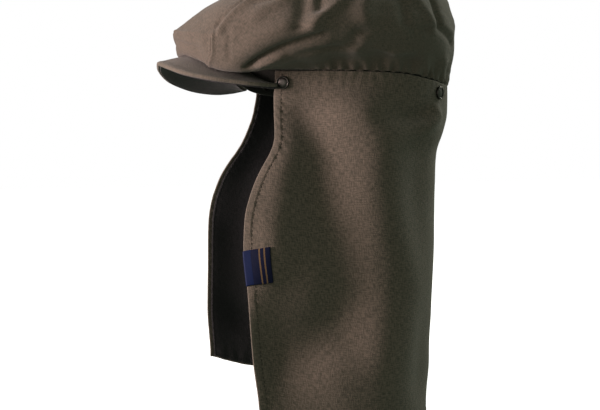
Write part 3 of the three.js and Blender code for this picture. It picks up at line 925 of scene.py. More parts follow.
@dataclass
class Crown:
    """The baggy crown with its folds, its seams and its gathers above the headband."""

    head: HeadOval
    seam_out: float = 0.0044
    side_overhang: float = 0.036
    front_overhang: float = 0.048
    rear_overhang: float = 0.011
    height: float = 0.104
    top_forward: float = 0.006
    profile_length: float = 0.230
    wall: float = 0.0016
    gather_count: int = 20
    gather_depth: float = 0.0016
    gathers_from: float = 56.0
    gathers_full: float = 76.0
    gathers_up: float = 0.3
    pucker_count: int = 62
    pucker_depth: float = 0.0022
    pucker_sway: float = 2.2
    pucker_up: float = 0.10
    folds_up: float = 0.08
    uneven_depth: float = 0.0008
    smooth_from: float = 0.85
    top_share: float = 0.995
    columns: int = 360
    rows: int = 118
    profile: Table = Table(
        (
            "side", "tuck_out", "tuck_up", "low_out", "low_up", "girth_up", "haunch_out",
            "haunch_up", "shoulder_out", "shoulder_up", "brow_out", "brow_up",
        ),
        (
            (0, 0.45, -0.018, 0.79, -0.035, 0.29, 0.9, 0.43, 0.73, 0.59, 0.44, 0.84),
            (22, 0.45, -0.01, 0.83, -0.03, 0.21, 0.92, 0.43, 0.755, 0.61, 0.45, 0.85),
            (37, 0.42, -0.03, 0.82, -0.065, 0.14, 0.945, 0.44, 0.79, 0.64, 0.47, 0.87),
            (58, 0.34, 0.01, 0.72, 0.03, 0.22, 0.96, 0.46, 0.825, 0.66, 0.49, 0.88),
            (74, 0.16, 0.065, 0.58, 0.11, 0.28, 0.965, 0.47, 0.835, 0.67, 0.495, 0.885),
            (90, 0.12, 0.085, 0.52, 0.16, 0.33, 0.97, 0.48, 0.845, 0.68, 0.51, 0.89),
            (180, 0.2, 0.09, 0.62, 0.21, 0.34, 0.975, 0.5, 0.89, 0.7, 0.55, 0.9),
        ),
    )
    crest: tuple[float, float] = (0.2, 0.985)
    folds: tuple[Fold, ...] = (
        Fold(
            ((50, 0.262), (55, 0.292), (61, 0.312), (67, 0.327), (73, 0.333), (80, 0.345)),
            -0.0055, 0.0033, taper=0.5,
        ),
        Fold(((52, 0.275), (61, 0.312), (73, 0.333), (84, 0.35)), -0.0024, 0.0095, taper=0.5),
        Fold(((54, 0.254), (63, 0.277), (70, 0.288), (81, 0.297)), 0.0028, 0.0042, taper=0.4),
        Fold(((66, 0.285), (77, 0.277), (86, 0.256), (90, 0.287), (93, 0.337)), -0.0022, 0.0052),
        Fold(((90, 0.255), (94, 0.3)), 0.0022, 0.006),
        Fold(((56, 0.36), (66, 0.4), (76, 0.42)), 0.0022, 0.012),
        Fold(((40, 0.44), (42, 0.481), (46, 0.514), (51, 0.557)), 0.0024, 0.0038),
        Fold(((38, 0.46), (40, 0.472), (44, 0.514), (47, 0.557)), -0.002, 0.0026),
        Fold(((55, 0.47), (58, 0.495), (64, 0.53)), 0.0018, 0.0055),
        Fold(((53, 0.528), (62, 0.54), (68, 0.552)), -0.0009, 0.0022),
        Fold(((72, 0.57), (73, 0.48), (72, 0.4)), -0.0036, 0.0065),
        Fold(((77, 0.4), (81, 0.455), (87, 0.531), (91, 0.57)), 0.003, 0.0055),
        Fold(((79, 0.58), (79, 0.48)), -0.003, 0.0042),
        Fold(((98, 0.58), (95, 0.48), (96, 0.4)), 0.0036, 0.009),
        Fold(((43, 0.438), (45, 0.422), (44, 0.37), (44, 0.32)), -0.0009, 0.0018),
        Fold(((113, 0.52), (113, 0.388), (118, 0.354), (125, 0.363)), -0.0024, 0.0055),
        Fold(((120, 0.56), (125, 0.5), (127, 0.42)), 0.0024, 0.007),
        Fold(((133, 0.6), (133, 0.472), (134, 0.379), (149, 0.329)), -0.0034, 0.005),
        Fold(((100, 0.25), (106, 0.22), (116, 0.24)), 0.0018, 0.007),
        Fold(((0, 0.345), (12, 0.345), (24, 0.35)), -0.0042, 0.0125),
    )
    seams: tuple[Fold, ...] = tuple(
        Fold(path, *shape)
        for path in (
            ((0, 0.413), (19, 0.418), (36, 0.422)),
            ((36.5, 0.425), (36, 0.371), (32, 0.29), (28, 0.2)),
        )
        for shape in ((-0.0012, 0.0009), (0.0013, 0.0030, 0.7))
    )
    across_grading: Spots = ((0.1, 0.014, 2.5), (0.9, 0.014, 2.5))
    along_grading: Spots = ((0.30, 0.05, 0.5), (0.417, 0.016, 3.0))

    @property
    def girth_size(self) -> tuple[float, float]:
        """Width and length of the widest part."""
        return (
            self.head.width + 2 * self.side_overhang,
            self.head.length + self.front_overhang + self.rear_overhang,
        )

    @property
    def turn_width(self) -> float:
        """Distance round the widest part for each degree."""
        return math.pi * sum(self.girth_size) / 2 / FULL_TURN

    def base(self, turn: Array, share: Array) -> Array:
        """Smooth crown before its folds.

        Args:
            turn: degrees round the head.
            share: share of the way up the profile.

        Returns:
            The points there.
        """
        side = from_front(turn)
        row = {name: self.profile.at(name, side) for name in self.profile.names[1:]}
        rim = self.head.seam_height(turn)
        seam = self.head.point(turn, self.seam_out, rim)
        width, length = self.girth_size
        centre = self.head.centre + (self.rear_overhang - self.front_overhang) / 2
        girth = oval_point(turn, width / 2, length / 2, centre, 0.0, row["girth_up"] * self.height)
        top = np.zeros_like(seam) + np.array([0.0, -self.top_forward, self.height])

        def between(start: Array, out: Values, height: Array) -> Array:
            """Place on the way from a start to the girth, at its own height."""
            place = start + (girth - start) * np.asarray(out)[..., None]
            place[..., 2] = height
            return place

        controls = [
            seam,
            between(seam, row["tuck_out"], rim + row["tuck_up"] * self.height),
            between(seam, row["low_out"], rim + row["low_up"] * self.height),
            girth,
            between(top, row["haunch_out"], row["haunch_up"] * self.height),
            between(top, row["shoulder_out"], row["shoulder_up"] * self.height),
            between(top, row["brow_out"], row["brow_up"] * self.height),
            between(top, self.crest[0], self.crest[1] * self.height + 0 * side),
            top,
        ]
        return curve_through(np.stack(controls, axis=-2), share)

    def relief(self, turn: Array, share: Array) -> Array:
        """How far the crown stands out of its smooth form.

        Args:
            turn: degrees round the head.
            share: share of the way up the profile.

        Returns:
            Height in metres at each place.
        """
        side = from_front(turn)
        gathered = rise(side, self.gathers_from, self.gathers_full)
        near_seam = np.sin(math.pi * np.clip(share / self.gathers_up, 0, 1))
        height = self.gather_depth * gathered * near_seam * np.cos(np.radians(turn * self.gather_count))
        height = (height + self.raised(self.folds, side, share)) * rise(share, 0.0, self.folds_up)
        height = height + self.fine_gathers(turn, share) * gathered
        uneven = SmoothNoise(7, 34, 14).at(turn / FULL_TURN, share)
        uneven = uneven + 0.4 * SmoothNoise(8, 80, 30).at(turn / FULL_TURN, share)
        height = height + self.uneven_depth * uneven * rise(share, 0.05, 0.2)
        height = height + self.raised(self.seams, side, share)
        return height * (1 - rise(share, self.smooth_from, 1.0))

    def raised(self, folds: tuple[Fold, ...], side: Array, share: Array) -> Array:
        """Height that some folds add, at degrees from the front and shares of the profile."""
        return sum(f.relief(side, share, self.turn_width, self.profile_length) for f in folds)

    def fine_gathers(self, turn: Array, share: Array) -> Array:
        """Small uneven puckers right above the seam.

        Args:
            turn: degrees round the head.
            share: share of the way up the profile.

        Returns:
            Height in metres at each place.
        """
        sway = SmoothNoise(3, 46, 2).at(turn / FULL_TURN, share)
        strength = 0.6 + 0.4 * SmoothNoise(5, 60, 1).at(turn / FULL_TURN, 0 * share)
        wave = np.cos(np.radians(turn * self.pucker_count) + self.pucker_sway * sway)
        fade = np.exp(-((share / self.pucker_up) ** 2)) * rise(share, 0.0, 0.012)
        return self.pucker_depth * strength * wave * fade

    def surface(self) -> ClothSurface:
        """Outer face of the crown with its folds."""
        across = graded(self.columns, self.across_grading)[:-1]
        along = graded(self.rows, self.along_grading)
        turn, share = np.meshgrid(across * FULL_TURN, along * self.top_share)
        smooth_form = ClothSurface(self.base(turn, share), True, across, along)
        return smooth_form.lifted(self.relief(turn, share))

    def build(self, wardrobe: Wardrobe) -> None:
        """Makes the crown's cloth."""
        outer = self.surface()
        turn, share = np.meshgrid(outer.across * FULL_TURN, outer.along * self.top_share)
        reach = (1 - share) * self.profile_length
        angle = np.radians(turn)
        places = np.stack([reach * np.sin(angle), -reach * np.cos(angle)], axis=-1)
        layer = ClothLayer(outer, self.wall, places, pole=True)
        made = layer.piece().build("crown_cloth", wardrobe.crown, "crown_cloth")
        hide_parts("crown")


@dataclass
class Cape:
    """The lined neck cape: an outer cloth and a black lining, open in front."""

    head: HeadOval
    band_out: float = 0.0022
    band_gap: float = 0.0006
    lining_wall: float = 0.0010
    layer_gap: float = 0.00035
    wall: float = 0.0012
    below_seam: float = 0.0015
    hem_width: float = 0.244
    hem_rear: float = 0.083
    hem_front: float = 0.228
    front_drop: float = 0.282
    rear_extra: float = 0.026
    edge_setback: float = 0.0675
    sweep: float = 0.0345
    lining_inset: float = 0.0015
    folds_from: float = 0.018
    folds_full: float = 0.034
    ridges_from: float = 0.004
    uneven_depth: float = 0.0011
    columns: int = 300
    rows: int = 150
    lining_columns: int = 200
    lining_rows: int = 100
    sections: Table = Table(
        ("drop", "wide", "rear", "front"),
        (
            (0, 0.0, 0.0, 0.0),
            (0.09, 0.01, 0.0, 0.0),
            (0.14, 0.06, 0.14, 0.03),
            (0.2, 0.15, 0.46, 0.15),
            (0.3, 0.29, 0.56, 0.42),
            (0.42, 0.5, 0.6, 0.87),
            (0.54, 0.68, 0.65, 0.95),
            (0.75, 0.89, 0.84, 0.99),
            (1, 1.0, 1.0, 1.0),
        ),
    )
    edges: Table = Table(
        ("drop", "near", "far"),
        (
            (0, 0.0, -0.27),
            (0.06, 0.0, -0.26),
            (0.12, 0.02, -0.19),
            (0.17, 0.04, -0.07),
            (0.214, 0.09, 0.06),
            (0.25, 0.22, 0.21),
            (0.295, 0.45, 0.45),
            (0.34, 0.66, 0.65),
            (0.38, 0.81, 0.77),
            (0.42, 0.92, 0.87),
            (0.476, 0.98, 0.95),
            (0.53, 1.0, 0.98),
            (0.63, 0.94, 0.98),
            (0.83, 0.85, 0.97),
            (1, 0.71, 0.88),
        ),
    )
    hem: Table = Table(
        ("around", "fall"), ((0, 0.0), (0.03, 0.2), (0.09, 0.54), (0.25, 0.8), (0.5, 1.0))
    )
    folds: tuple[Fold, ...] = (
        Fold(
            (
                (0.008, 0.05), (0.026, 0.2), (0.045, 0.35), (0.045, 0.5), (0.01, 0.64),
                (-0.018, 0.76), (-0.02, 0.96),
            ),
            0.0052, 0.018,
        ),
        Fold(
            (
                (0.04, 0.08), (0.062, 0.16), (0.105, 0.28), (0.143, 0.45), (0.167, 0.6),
                (0.135, 0.71), (0.04, 0.80),
            ),
            -0.0085, 0.0235,
        ),
        Fold(
            ((0.165, 0.08), (0.212, 0.3), (0.26, 0.47), (0.293, 0.6), (0.265, 0.73), (0.16, 0.9)),
            0.0076, 0.03, taper=0.5,
        ),
        Fold(((0.29, 0.2), (0.3, 0.5), (0.3, 0.85)), -0.004, 0.0216),
        Fold(((0.13, 0.7), (0.08, 0.77), (0.03, 0.8)), -0.0026, 0.018),
        Fold(((0.335, 0.07), (0.27, 0.105), (0.2, 0.12)), -0.008, 0.0095, taper=0.85),
        Fold(((0.345, 0.095), (0.315, 0.135), (0.26, 0.165), (0.19, 0.185)), 0.008, 0.0085, taper=0.95),
        Fold(((0.5, 0.2), (0.5, 0.6), (0.5, 0.95)), -0.005, 0.0264),
        Fold(((0.91, 0.16), (0.89, 0.4), (0.885, 0.75)), -0.007, 0.0204),
        Fold(((0.83, 0.2), (0.8, 0.5), (0.78, 0.7)), 0.006, 0.024),
        Fold(((0.77, 0.72), (0.85, 0.76), (0.94, 0.82)), 0.004, 0.0192),
        Fold(((0.72, 0.15), (0.7, 0.5), (0.71, 0.85)), -0.004, 0.0216),
    )
    across_grading: Spots = ((0.0, 0.016, 4.0), (1.0, 0.016, 4.0))
    along_grading: Spots = ((0.0, 0.03, 3.0), (1.0, 0.04, 1.5))
    margin: float = 0.0062
    label_zone: tuple[float, float] = (0.140, 0.176)
    label_press: float = 0.92
    turned: float = 0.0005
    groove: float = 0.0006
    groove_reach: float = 0.0008
    edge_puckers: Puckers = Puckers(0.00045, 0.0078, 0.0052)
    edge_slant: float = 0.7
    tight_depth: float = 0.0006
    tight_reach: float = 0.060
    hem_puckers: Puckers = Puckers(0.0005, 0.0125, 0.0085)
    top_gathers: Puckers = Puckers(0.0006, 0.0092, 0.011)
    rim_wear_and_highlight: float = 0.75
    wear_and_highlight_reach: float = 0.0012

    @property
    def out(self) -> float:
        """How far the cape's outer face stands off the head oval at its top."""
        return self.band_out + self.band_gap + self.lining_wall + self.layer_gap + self.wall

    def edge_turn(self, edge: Edge, drop: float) -> float:
        """Degrees from the front at which one front edge lies."""
        front = self.section(drop)["front"]
        forward = self.edge_setback + self.sweep * float(self.edges.at(edge.value, drop))
        return math.degrees(math.acos(forward / front))

    def section(self, drop: float) -> dict[str, float]:
        """Half width, rear and front half lengths and fullness of one level line."""
        top = self.head.length / 2 + self.out
        wide, rear, front = (float(self.sections.at(n, drop)) for n in ("wide", "rear", "front"))
        half_width = self.head.width / 2 + self.out
        return {
            "half_width": half_width + (self.hem_width / 2 - half_width) * wide,
            "rear": top + (self.hem_rear - top) * rear,
            "front": top + (self.hem_front - top) * front,
            "fullness": self.head.fullness * (1 - front),
        }

    def level_line(self, drop: float, around: Array) -> tuple[Array, float]:
        """One level line of the cape, from near edge to far edge.

        Args:
            drop: share of the way down.
            around: shares of the line's length.

        Returns:
            The points at those shares, and the line's length.
        """
        size = self.section(drop)
        turn = np.linspace(
            self.edge_turn(Edge.NEAR, drop), FULL_TURN - self.edge_turn(Edge.FAR, drop), LINE_STEPS + 1
        )
        half_length = np.where(np.cos(np.radians(turn)) > 0, size["front"], size["rear"])
        line = oval_point(turn, size["half_width"], half_length, self.head.centre, size["fullness"], 0.0)
        travelled = np.concatenate([[0.0], np.cumsum(np.linalg.norm(np.diff(line, axis=0), axis=1))])
        wanted = around * travelled[-1]
        return (
            np.stack([np.interp(wanted, travelled, line[:, k]) for k in range(3)], axis=-1),
            float(travelled[-1]),
        )

    def base(self, around: Array, drops: Array) -> tuple[Array, Array]:
        """Smooth cape before its folds.

        Args:
            around: shares of the way round, one for each column.
            drops: shares of the way down, one for each row.

        Returns:
            The grid of points, and the length of each row.
        """
        near, far = self.edge_turn(Edge.NEAR, 0.0), FULL_TURN - self.edge_turn(Edge.FAR, 0.0)
        top = self.head.seam_height(near + (far - near) * around) - self.below_seam
        fall = self.hem.at("fall", np.minimum(around, 1 - around))
        bottom = -self.below_seam - self.front_drop - self.rear_extra * fall
        rows, lengths = [], []
        for drop in drops:
            line, length = self.level_line(float(drop), around)
            line[:, 2] = top + (bottom - top) * drop
            rows.append(line)
            lengths.append(length)
        return np.array(rows), np.array(lengths)

    def relief(self, around: Array, drop: Array, length: Array) -> Array:
        """How far the cape stands out of its smooth form.

        Args:
            around: share of the way round at each point.
            drop: share of the way down at each point.
            length: length of each point's row.

        Returns:
            Height in metres at each point.
        """
        fallen = drop * self.front_drop
        height = np.zeros_like(around)
        for fold in self.folds:
            start = self.folds_from if fold.depth < 0 else self.ridges_from
            grown = rise(fallen, start, self.folds_full)
            height += fold.relief(around, drop, length, self.front_drop) * grown
        uneven = SmoothNoise(21, 9, 6).at(around, drop)
        uneven = uneven + 0.45 * SmoothNoise(22, 24, 13).at(around, drop)
        height += self.uneven_depth * uneven * rise(fallen, self.folds_from, self.folds_full)
        return height + self.border_relief(around, fallen, length)

    def border_relief(self, around: Array, fallen: Array, length: Array) -> Array:
        """Turned-in borders with their stitched groove, and the puckers along every seam.

        Args:
            around: share of the way round at each point.
            fallen: distance below the top at each point.
            length: length of each point's row.

        Returns:
            Height in metres at each point.
        """
        side = np.minimum(around, 1 - around) * length
        hem, run = self.front_drop - fallen, around * length
        inside = np.minimum(side, hem)
        below = rise(fallen, self.folds_from, 0.030)
        turned = 1 - rise(inside, self.margin + 0.0002, self.margin + 0.0016)
        groove = np.exp(-(((inside - self.margin) / self.groove_reach) ** 2))
        height = (self.turned * turned - self.groove * groove) * below
        sway = 1.6 * SmoothNoise(31, 40, 26).at(around, fallen / self.front_drop)
        patchy = 0.65 + 0.35 * SmoothNoise(32, 50, 20).at(around, fallen / self.front_drop)
        edge, seam, top = self.edge_puckers, self.hem_puckers, self.top_gathers
        tight = edge.depth + self.tight_depth * np.exp(-((fallen / self.tight_reach) ** 2))
        slanted = edge.waves(fallen - self.edge_slant * side, sway)
        height += tight * slanted * edge.fade(side - self.margin) * below * patchy
        height += seam.depth * seam.waves(run, sway) * seam.fade(hem - self.margin) * patchy
        gathered = (1 + top.waves(run, sway)) / 2
        height += top.depth * gathered * patchy * top.fade(fallen)
        start, end = self.label_zone
        pressed = rise(fallen, start - 0.006, start) * (1 - rise(fallen, end, end + 0.006))
        return height * (1 - self.label_press * pressed * (around < 0.5))

    def surface(self) -> ClothSurface:
        """Outer face of the cape, hem first."""
        across = graded(self.columns, self.across_grading)
        along = graded(self.rows, self.along_grading)
        points, lengths = self.base(across, 1 - along)
        around, drop = np.meshgrid(across, 1 - along)
        length = np.broadcast_to(lengths[:, None], around.shape)
        face = ClothSurface(points, across=across, along=along)
        return face.lifted(self.relief(around, drop, length))

    def wear(self, surface: ClothSurface) -> Array:
        """How rubbed the cloth is at each point: most along its folded borders."""
        around, along = np.meshgrid(surface.across, surface.along)
        side = np.minimum(around, 1 - around) * 2 * self.hem_width
        inside = np.minimum(side, along * self.front_drop)
        return self.rim_wear_and_highlight * np.exp(-inside / self.wear_and_highlight_reach)

    def places(self, surface: ClothSurface) -> Array:
        """Places of a grid's points on the flat cloth."""
        across = np.linalg.norm(np.diff(surface.points, axis=1), axis=-1)
        u = np.concatenate([np.zeros((len(across), 1)), np.cumsum(across, axis=1)], axis=1)
        u -= u[:, -1:] / 2
        v = surface.along * (self.front_drop + self.rear_extra)
        return np.stack([u, np.broadcast_to(v[:, None], u.shape)], axis=-1)

    def build(self, wardrobe: Wardrobe) -> list[bpy.types.Object]:
        """Makes the outer cloth and the lining."""
        outer = self.surface()
        places = self.places(outer)
        cloth = ClothLayer(outer, self.wall, places, self.wear(outer)).piece().build(
            "neck_cape_cloth", wardrobe.shell, "cape_cloth"
        )
        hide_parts("neck_cape")
        under = self.lining_surface(outer)
        lining = ClothLayer(under, self.lining_wall, self.places(under)).piece().build(
            "cape_lining_cloth", wardrobe.lining, "lining_cloth"
        )
        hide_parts("cape_lining")
        return [cloth, lining]

    def lining_surface(self, outer: ClothSurface) -> ClothSurface:
        """Outer face of the lining, under the cape and drawn in from its borders."""
        u, v = share_grid(self.lining_columns, self.lining_rows)
        inset_u, inset_v = self.lining_inset / self.hem_width, self.lining_inset / self.front_drop
        points, normals = outer.place(
            np.clip(u, inset_u, 1 - inset_u), np.clip(v, inset_v, 1 - inset_v)
        )
        return ClothSurface(points - normals * (self.wall + self.layer_gap))


@dataclass
class Peak:
    """The short curved peak: cloth over a board, with its own cloth underneath."""

    head: HeadOval
    cape: Cape
    depth: float = 0.057
    width: float = 0.150
    from_cape: float = 0.006
    below_seam: float = 0.0035
    fall: float = 0.0285
    camber: float = 0.003
    wall: float = 0.0034
    lining_wall: float = 0.0010
    lining_inset: float = 0.0012
    roll: float = 0.0005
    roll_reach: float = 0.0025
    roll_from_edge: float = 0.6
    # partly wear, partly painted highlight: the pale tone along the front edge also stands in for light on
    # the rolled edge
    rim_wear_and_highlight: float = 0.5
    wear_and_highlight_reach: float = 0.0018
    rim_steps: int = 6
    columns: int = 140
    rows: int = 30
    outline: Table = Table(
        ("across", "out", "forward", "root_fall", "left_fall", "right_fall"),
        (
            (0, 0.0, 1.0, 0.0, 0.22, 0.22),
            (0.25, 0.38, 0.93, 0.08, 0.36, 0.41),
            (0.45, 0.7, 0.71, 0.23, 0.58, 0.72),
            (0.62, 0.92, 0.33, 0.43, 0.76, 0.96),
            (0.76, 1.0, -0.08, 0.61, 0.87, 1.05),
            (0.88, 0.985, -0.39, 0.76, 0.92, 0.98),
            (1, 0.9, -0.6, 0.88, 0.93, 0.86),
        ),
    )

    def face(self, u: Array, v: Array) -> Array:
        """Upper face, from the right corner to the left, and from the edge to the root."""
        across = 2 * u - 1
        row = {n: self.outline.at(n, np.abs(across)) for n in self.outline.names[1:]}
        seat = self.head.brow_rise - self.below_seam
        root_out = self.cape.band_out + self.cape.band_gap
        corner = self.head.turn_along(
            self.cape.edge_turn(Edge.NEAR, 0.0), -self.from_cape, self.cape.out
        )
        root = self.head.point(across * corner, root_out, seat - self.fall * row["root_fall"])
        front = float(self.head.point(0.0, root_out, 0.0)[1])
        x = np.sign(across) * row["out"] * self.width / 2
        y = front - self.depth * row["forward"]
        edge_fall = np.where(across > 0, row["left_fall"], row["right_fall"])
        edge = np.stack([x, y, seat - self.fall * edge_fall], axis=-1)
        point = edge + (root - edge) * v[..., None]
        point[..., 2] += self.camber * np.sin(math.pi * v) * (1 - across**2)
        return point

    def surface(self) -> ClothSurface:
        """Upper face of the peak with its rolled edge."""
        u, v = share_grid(self.columns, self.rows)
        away = v * self.depth / self.roll_reach - self.roll_from_edge
        return ClothSurface(self.face(u, v)).lifted(self.roll * np.exp(-(away**2)))

    def build(self, wardrobe: Wardrobe) -> None:
        """Makes the covered board and the cloth under it."""
        outer = self.surface()
        u, v = share_grid(self.columns, self.rows)
        # pale front edge: rubbed cloth and a painted highlight of the rolled edge
        wear = self.rim_wear_and_highlight * np.exp(-((v * self.depth / self.wear_and_highlight_reach) ** 2))
        places = outer.points[..., :2].copy()
        layer = ClothLayer(outer, self.wall, places, wear, rim_steps=self.rim_steps)
        top = layer.piece().build("peak_cloth", wardrobe.peak, "peak_cloth")
        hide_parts("peak")
        inset_u, inset_v = self.lining_inset / self.width, self.lining_inset / self.depth
        points, normals = outer.place(
            np.clip(u, inset_u, 1 - inset_u), np.clip(v, inset_v, 1 - inset_v)
        )
        under = ClothSurface(points - normals * (self.wall + self.cape.layer_gap))
        layer = ClothLayer(under, self.lining_wall, places)
        lining = layer.piece().build("peak_under_cloth", wardrobe.peak_under, "peak_under_cloth")
        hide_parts("peak_lining")


@dataclass
class PressStud:
    """A press stud, snapped shut: ringed cap outside, post through the cloths, foot inside."""

    name: str
    head: HeadOval
    cape: Cape
    turn: float
    drop: float = 0.0095
    cap_radius: float = 0.0058
    cap_height: float = 0.0024
    post_radius: float = 0.0020
    foot_radius: float = 0.0042
    foot_height: float = 0.0014
    sides: int = 48

    def profile(self) -> Array:
        """Radius, height and wear down the lathe profile, from the foot to the cap's middle."""
        gap, r, h = self.cape.layer_gap, self.cap_radius, self.cap_height
        under = -self.cape.out - gap
        foot, low = self.foot_radius, under - self.foot_height
        return np.array([
            (0.0, low + 0.0004, 0.1), (foot * 0.45, low + 0.0003, 0.1),
            (foot * 0.55, low, 0.4), (foot * 0.85, low, 0.3), (foot, low + 0.0005, 0.2),
            (foot, under - 0.0002, 0.0), (foot * 0.96, under, 0.0), (self.post_radius, under, 0.0),
            (self.post_radius, gap, 0.0), (r * 0.97, gap, 0.0), (r, gap + 0.08 * h, 0.0),
            (r, gap + 0.5 * h, 0.1), (r * 0.985, gap + 0.72 * h, 0.3),
            (r * 0.95, gap + 0.9 * h, 0.6), (r * 0.9, gap + h, 0.7),
            (r * 0.83, gap + h, 0.5), (r * 0.78, gap + 0.9 * h, 0.1),
            (r * 0.74, gap + 0.66 * h, 0.0), (r * 0.7, gap + 0.62 * h, 0.0),
            (r * 0.65, gap + 0.72 * h, 0.2), (r * 0.5, gap + 0.82 * h, 0.5),
            (r * 0.25, gap + 0.9 * h, 0.6), (0.0, gap + 0.92 * h, 0.6),
        ])

    def build(self, wardrobe: Wardrobe) -> None:
        """Makes the stud's metal."""
        height = float(self.head.seam_height(self.turn)) - self.cape.below_seam - self.drop
        seat = self.head.point(self.turn, self.cape.out, height)
        ahead = self.head.point(self.turn + 1, self.cape.out, 0.0)
        behind = self.head.point(self.turn - 1, self.cape.out, 0.0)
        axis = unit(np.cross(ahead - behind, UP))
        side = unit(np.cross(UP, axis))
        top = np.cross(axis, side)
        rows = self.profile()
        angle = 2 * math.pi * np.arange(self.sides) / self.sides
        ring = np.cos(angle)[:, None] * side + np.sin(angle)[:, None] * top
        rings = seat + rows[1:-1, 1, None, None] * axis + rows[1:-1, 0, None, None] * ring
        tips = seat + rows[[0, -1], 1, None] * axis
        made = Piece()
        made.add_spindle(rings, tips, wear=(rows[1:-1, 2, None], rows[[0, -1], 2]))
        stud = made.build(f"{self.name}_metal", wardrobe.metal, "stud_metal")
        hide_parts(self.name)


@dataclass
class SideLabel:
    """The woven label folded round the front edge of the near flap."""

    cape: Cape
    top: float = 0.148
    height: float = 0.027
    width: float = 0.021
    rise: float = 0.007
    turn_in: float = 0.007
    wall: float = 0.0010
    look_ahead: float = 0.01
    columns: int = 60
    rows: int = 40

    def surface(self, cloth: ClothSurface) -> tuple[ClothSurface, Array]:
        """Outer face of the label on the finished cape.

        Args:
            cloth: the cape's outer face.

        Returns:
            The label's outer face, and its places on the flat label.
        """
        stack = self.cape.wall + self.cape.layer_gap + self.cape.lining_wall
        proud = self.cape.layer_gap + self.wall
        bend = (proud + stack + proud) / 2
        arc = math.pi * (bend + proud) / 2
        total = self.turn_in + arc + self.width
        run = np.linspace(0, total, self.columns + 1)
        angle = np.clip((run - self.turn_in) / arc, 0, 1) * math.pi
        along = np.where(
            run < self.turn_in, self.turn_in - run,
            np.where(run > self.turn_in + arc, run - self.turn_in - arc, -proud * np.sin(angle)),
        )
        out = -stack - proud + bend * (1 - np.cos(angle))
        up = np.linspace(0, 1, self.rows + 1)
        along, drop = np.meshgrid(along, (self.top + self.height * (1 - up)) / self.cape.front_drop)
        drop = drop - self.rise * along / self.width / self.cape.front_drop
        length = self.cape.level_line(float(drop.mean()), np.zeros(1))[1]
        u = along / length
        points, normals = cloth.place(np.maximum(u, 0), 1 - drop)
        ahead, _ = cloth.place(np.full_like(u, self.look_ahead), 1 - drop)
        edge, _ = cloth.place(np.zeros_like(u), 1 - drop)
        past_edge = unit(ahead - edge) * np.minimum(along, 0)[..., None]
        points = points + past_edge + normals * out[:, None]
        flat = np.meshgrid(run - self.turn_in - arc, up * self.height)
        return ClothSurface(points), np.stack(flat, axis=-1)

    def build(self, cloth: ClothSurface, wardrobe: Wardrobe) -> None:
        """Makes the label's cloth."""
        outer, places = self.surface(cloth)
        layer = ClothLayer(outer, self.wall, places)
        made = layer.piece().build("side_label_cloth", wardrobe.label, "label_cloth")
        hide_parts("side_label")


@dataclass
class Sewing:
    """All visible rows of stitches."""

    cape: Cape
    steps: int = 400
    top_share: float = 0.997

    def border_path(self, surface: ClothSurface, inset: float, lift: float) -> tuple[Array, Array]:
        """Path round the near edge, the hem and the far edge, at a distance inside them.

        Args:
            surface: the cloth face that is sewn.
            inset: distance inside the borders, in metres.
            lift: height of the thread over the face, in metres.

        Returns:
            The path's points and the face's outward directions.
        """
        lengths = np.linalg.norm(np.diff(surface.points, axis=1), axis=-1).sum(axis=1)
        v_in = inset / (self.cape.front_drop + self.cape.rear_extra)
        down = np.linspace(self.top_share, v_in, self.steps)
        edge_in = inset / np.interp(down, surface.along, lengths)
        across = np.linspace(edge_in[-1], 1 - edge_in[-1], 2 * self.steps)
        u = np.concatenate([edge_in, across, 1 - edge_in[::-1]])
        v = np.concatenate([down, np.full(2 * self.steps, v_in), down[::-1]])
        points, normals = surface.place(u, v)
        return points + normals * lift, normals

    def build(
        self, cape_face: ClothSurface, lining_face: ClothSurface, wardrobe: Wardrobe
    ) -> list[bpy.types.Object]:
        """Sews the cape's outer cloth and its lining.

        Args:
            cape_face: outer face of the cape.
            lining_face: outer face of the lining.
            wardrobe: the finishes.

        Returns:
            One object for each side of the cape.
        """
        outside, inside = Piece(), Piece()
        StitchRow().sew(outside, *self.border_path(cape_face, self.cape.margin, 0.0))
        points, normals = self.border_path(
            lining_face, self.cape.margin - self.cape.lining_inset, -self.cape.lining_wall
        )
        StitchRow().sew(inside, points, -normals)
        return [
            outside.build("cape_topstitch", wardrobe.thread, "cape_cloth"),
            inside.build("lining_topstitch", wardrobe.dark_thread, "lining_cloth"),
        ]


# Studio


@dataclass(frozen=True)
class SoftBox:
    """A square studio light, placed by its distances toward the camera, right and up."""

    name: str
    toward_camera: float
    right: float
    up: float
    size: float
    power: float
    colour: Triple

    def hang(self, target: Vector, ahead: Vector, right: Vector) -> None:
        """Makes the light and turns it to a target.

        Args:
            target: the place it shines at.
            ahead: level direction from the camera to the cap.
            right: level direction to the right of the picture.
        """
        lamp = bpy.data.lights.new(self.name, "AREA")
        lamp.shape, lamp.size = "SQUARE", self.size
        lamp.energy, lamp.color = self.power, self.colour
        made = bpy.data.objects.new(self.name, lamp)
        place = target - ahead * self.toward_camera + right * self.right + Vector((0, 0, self.up))
        made.location = place
        made.rotation_euler = (target - place).to_track_quat("-Z", "Y").to_euler()
        bpy.context.scene.collection.objects.link(made)


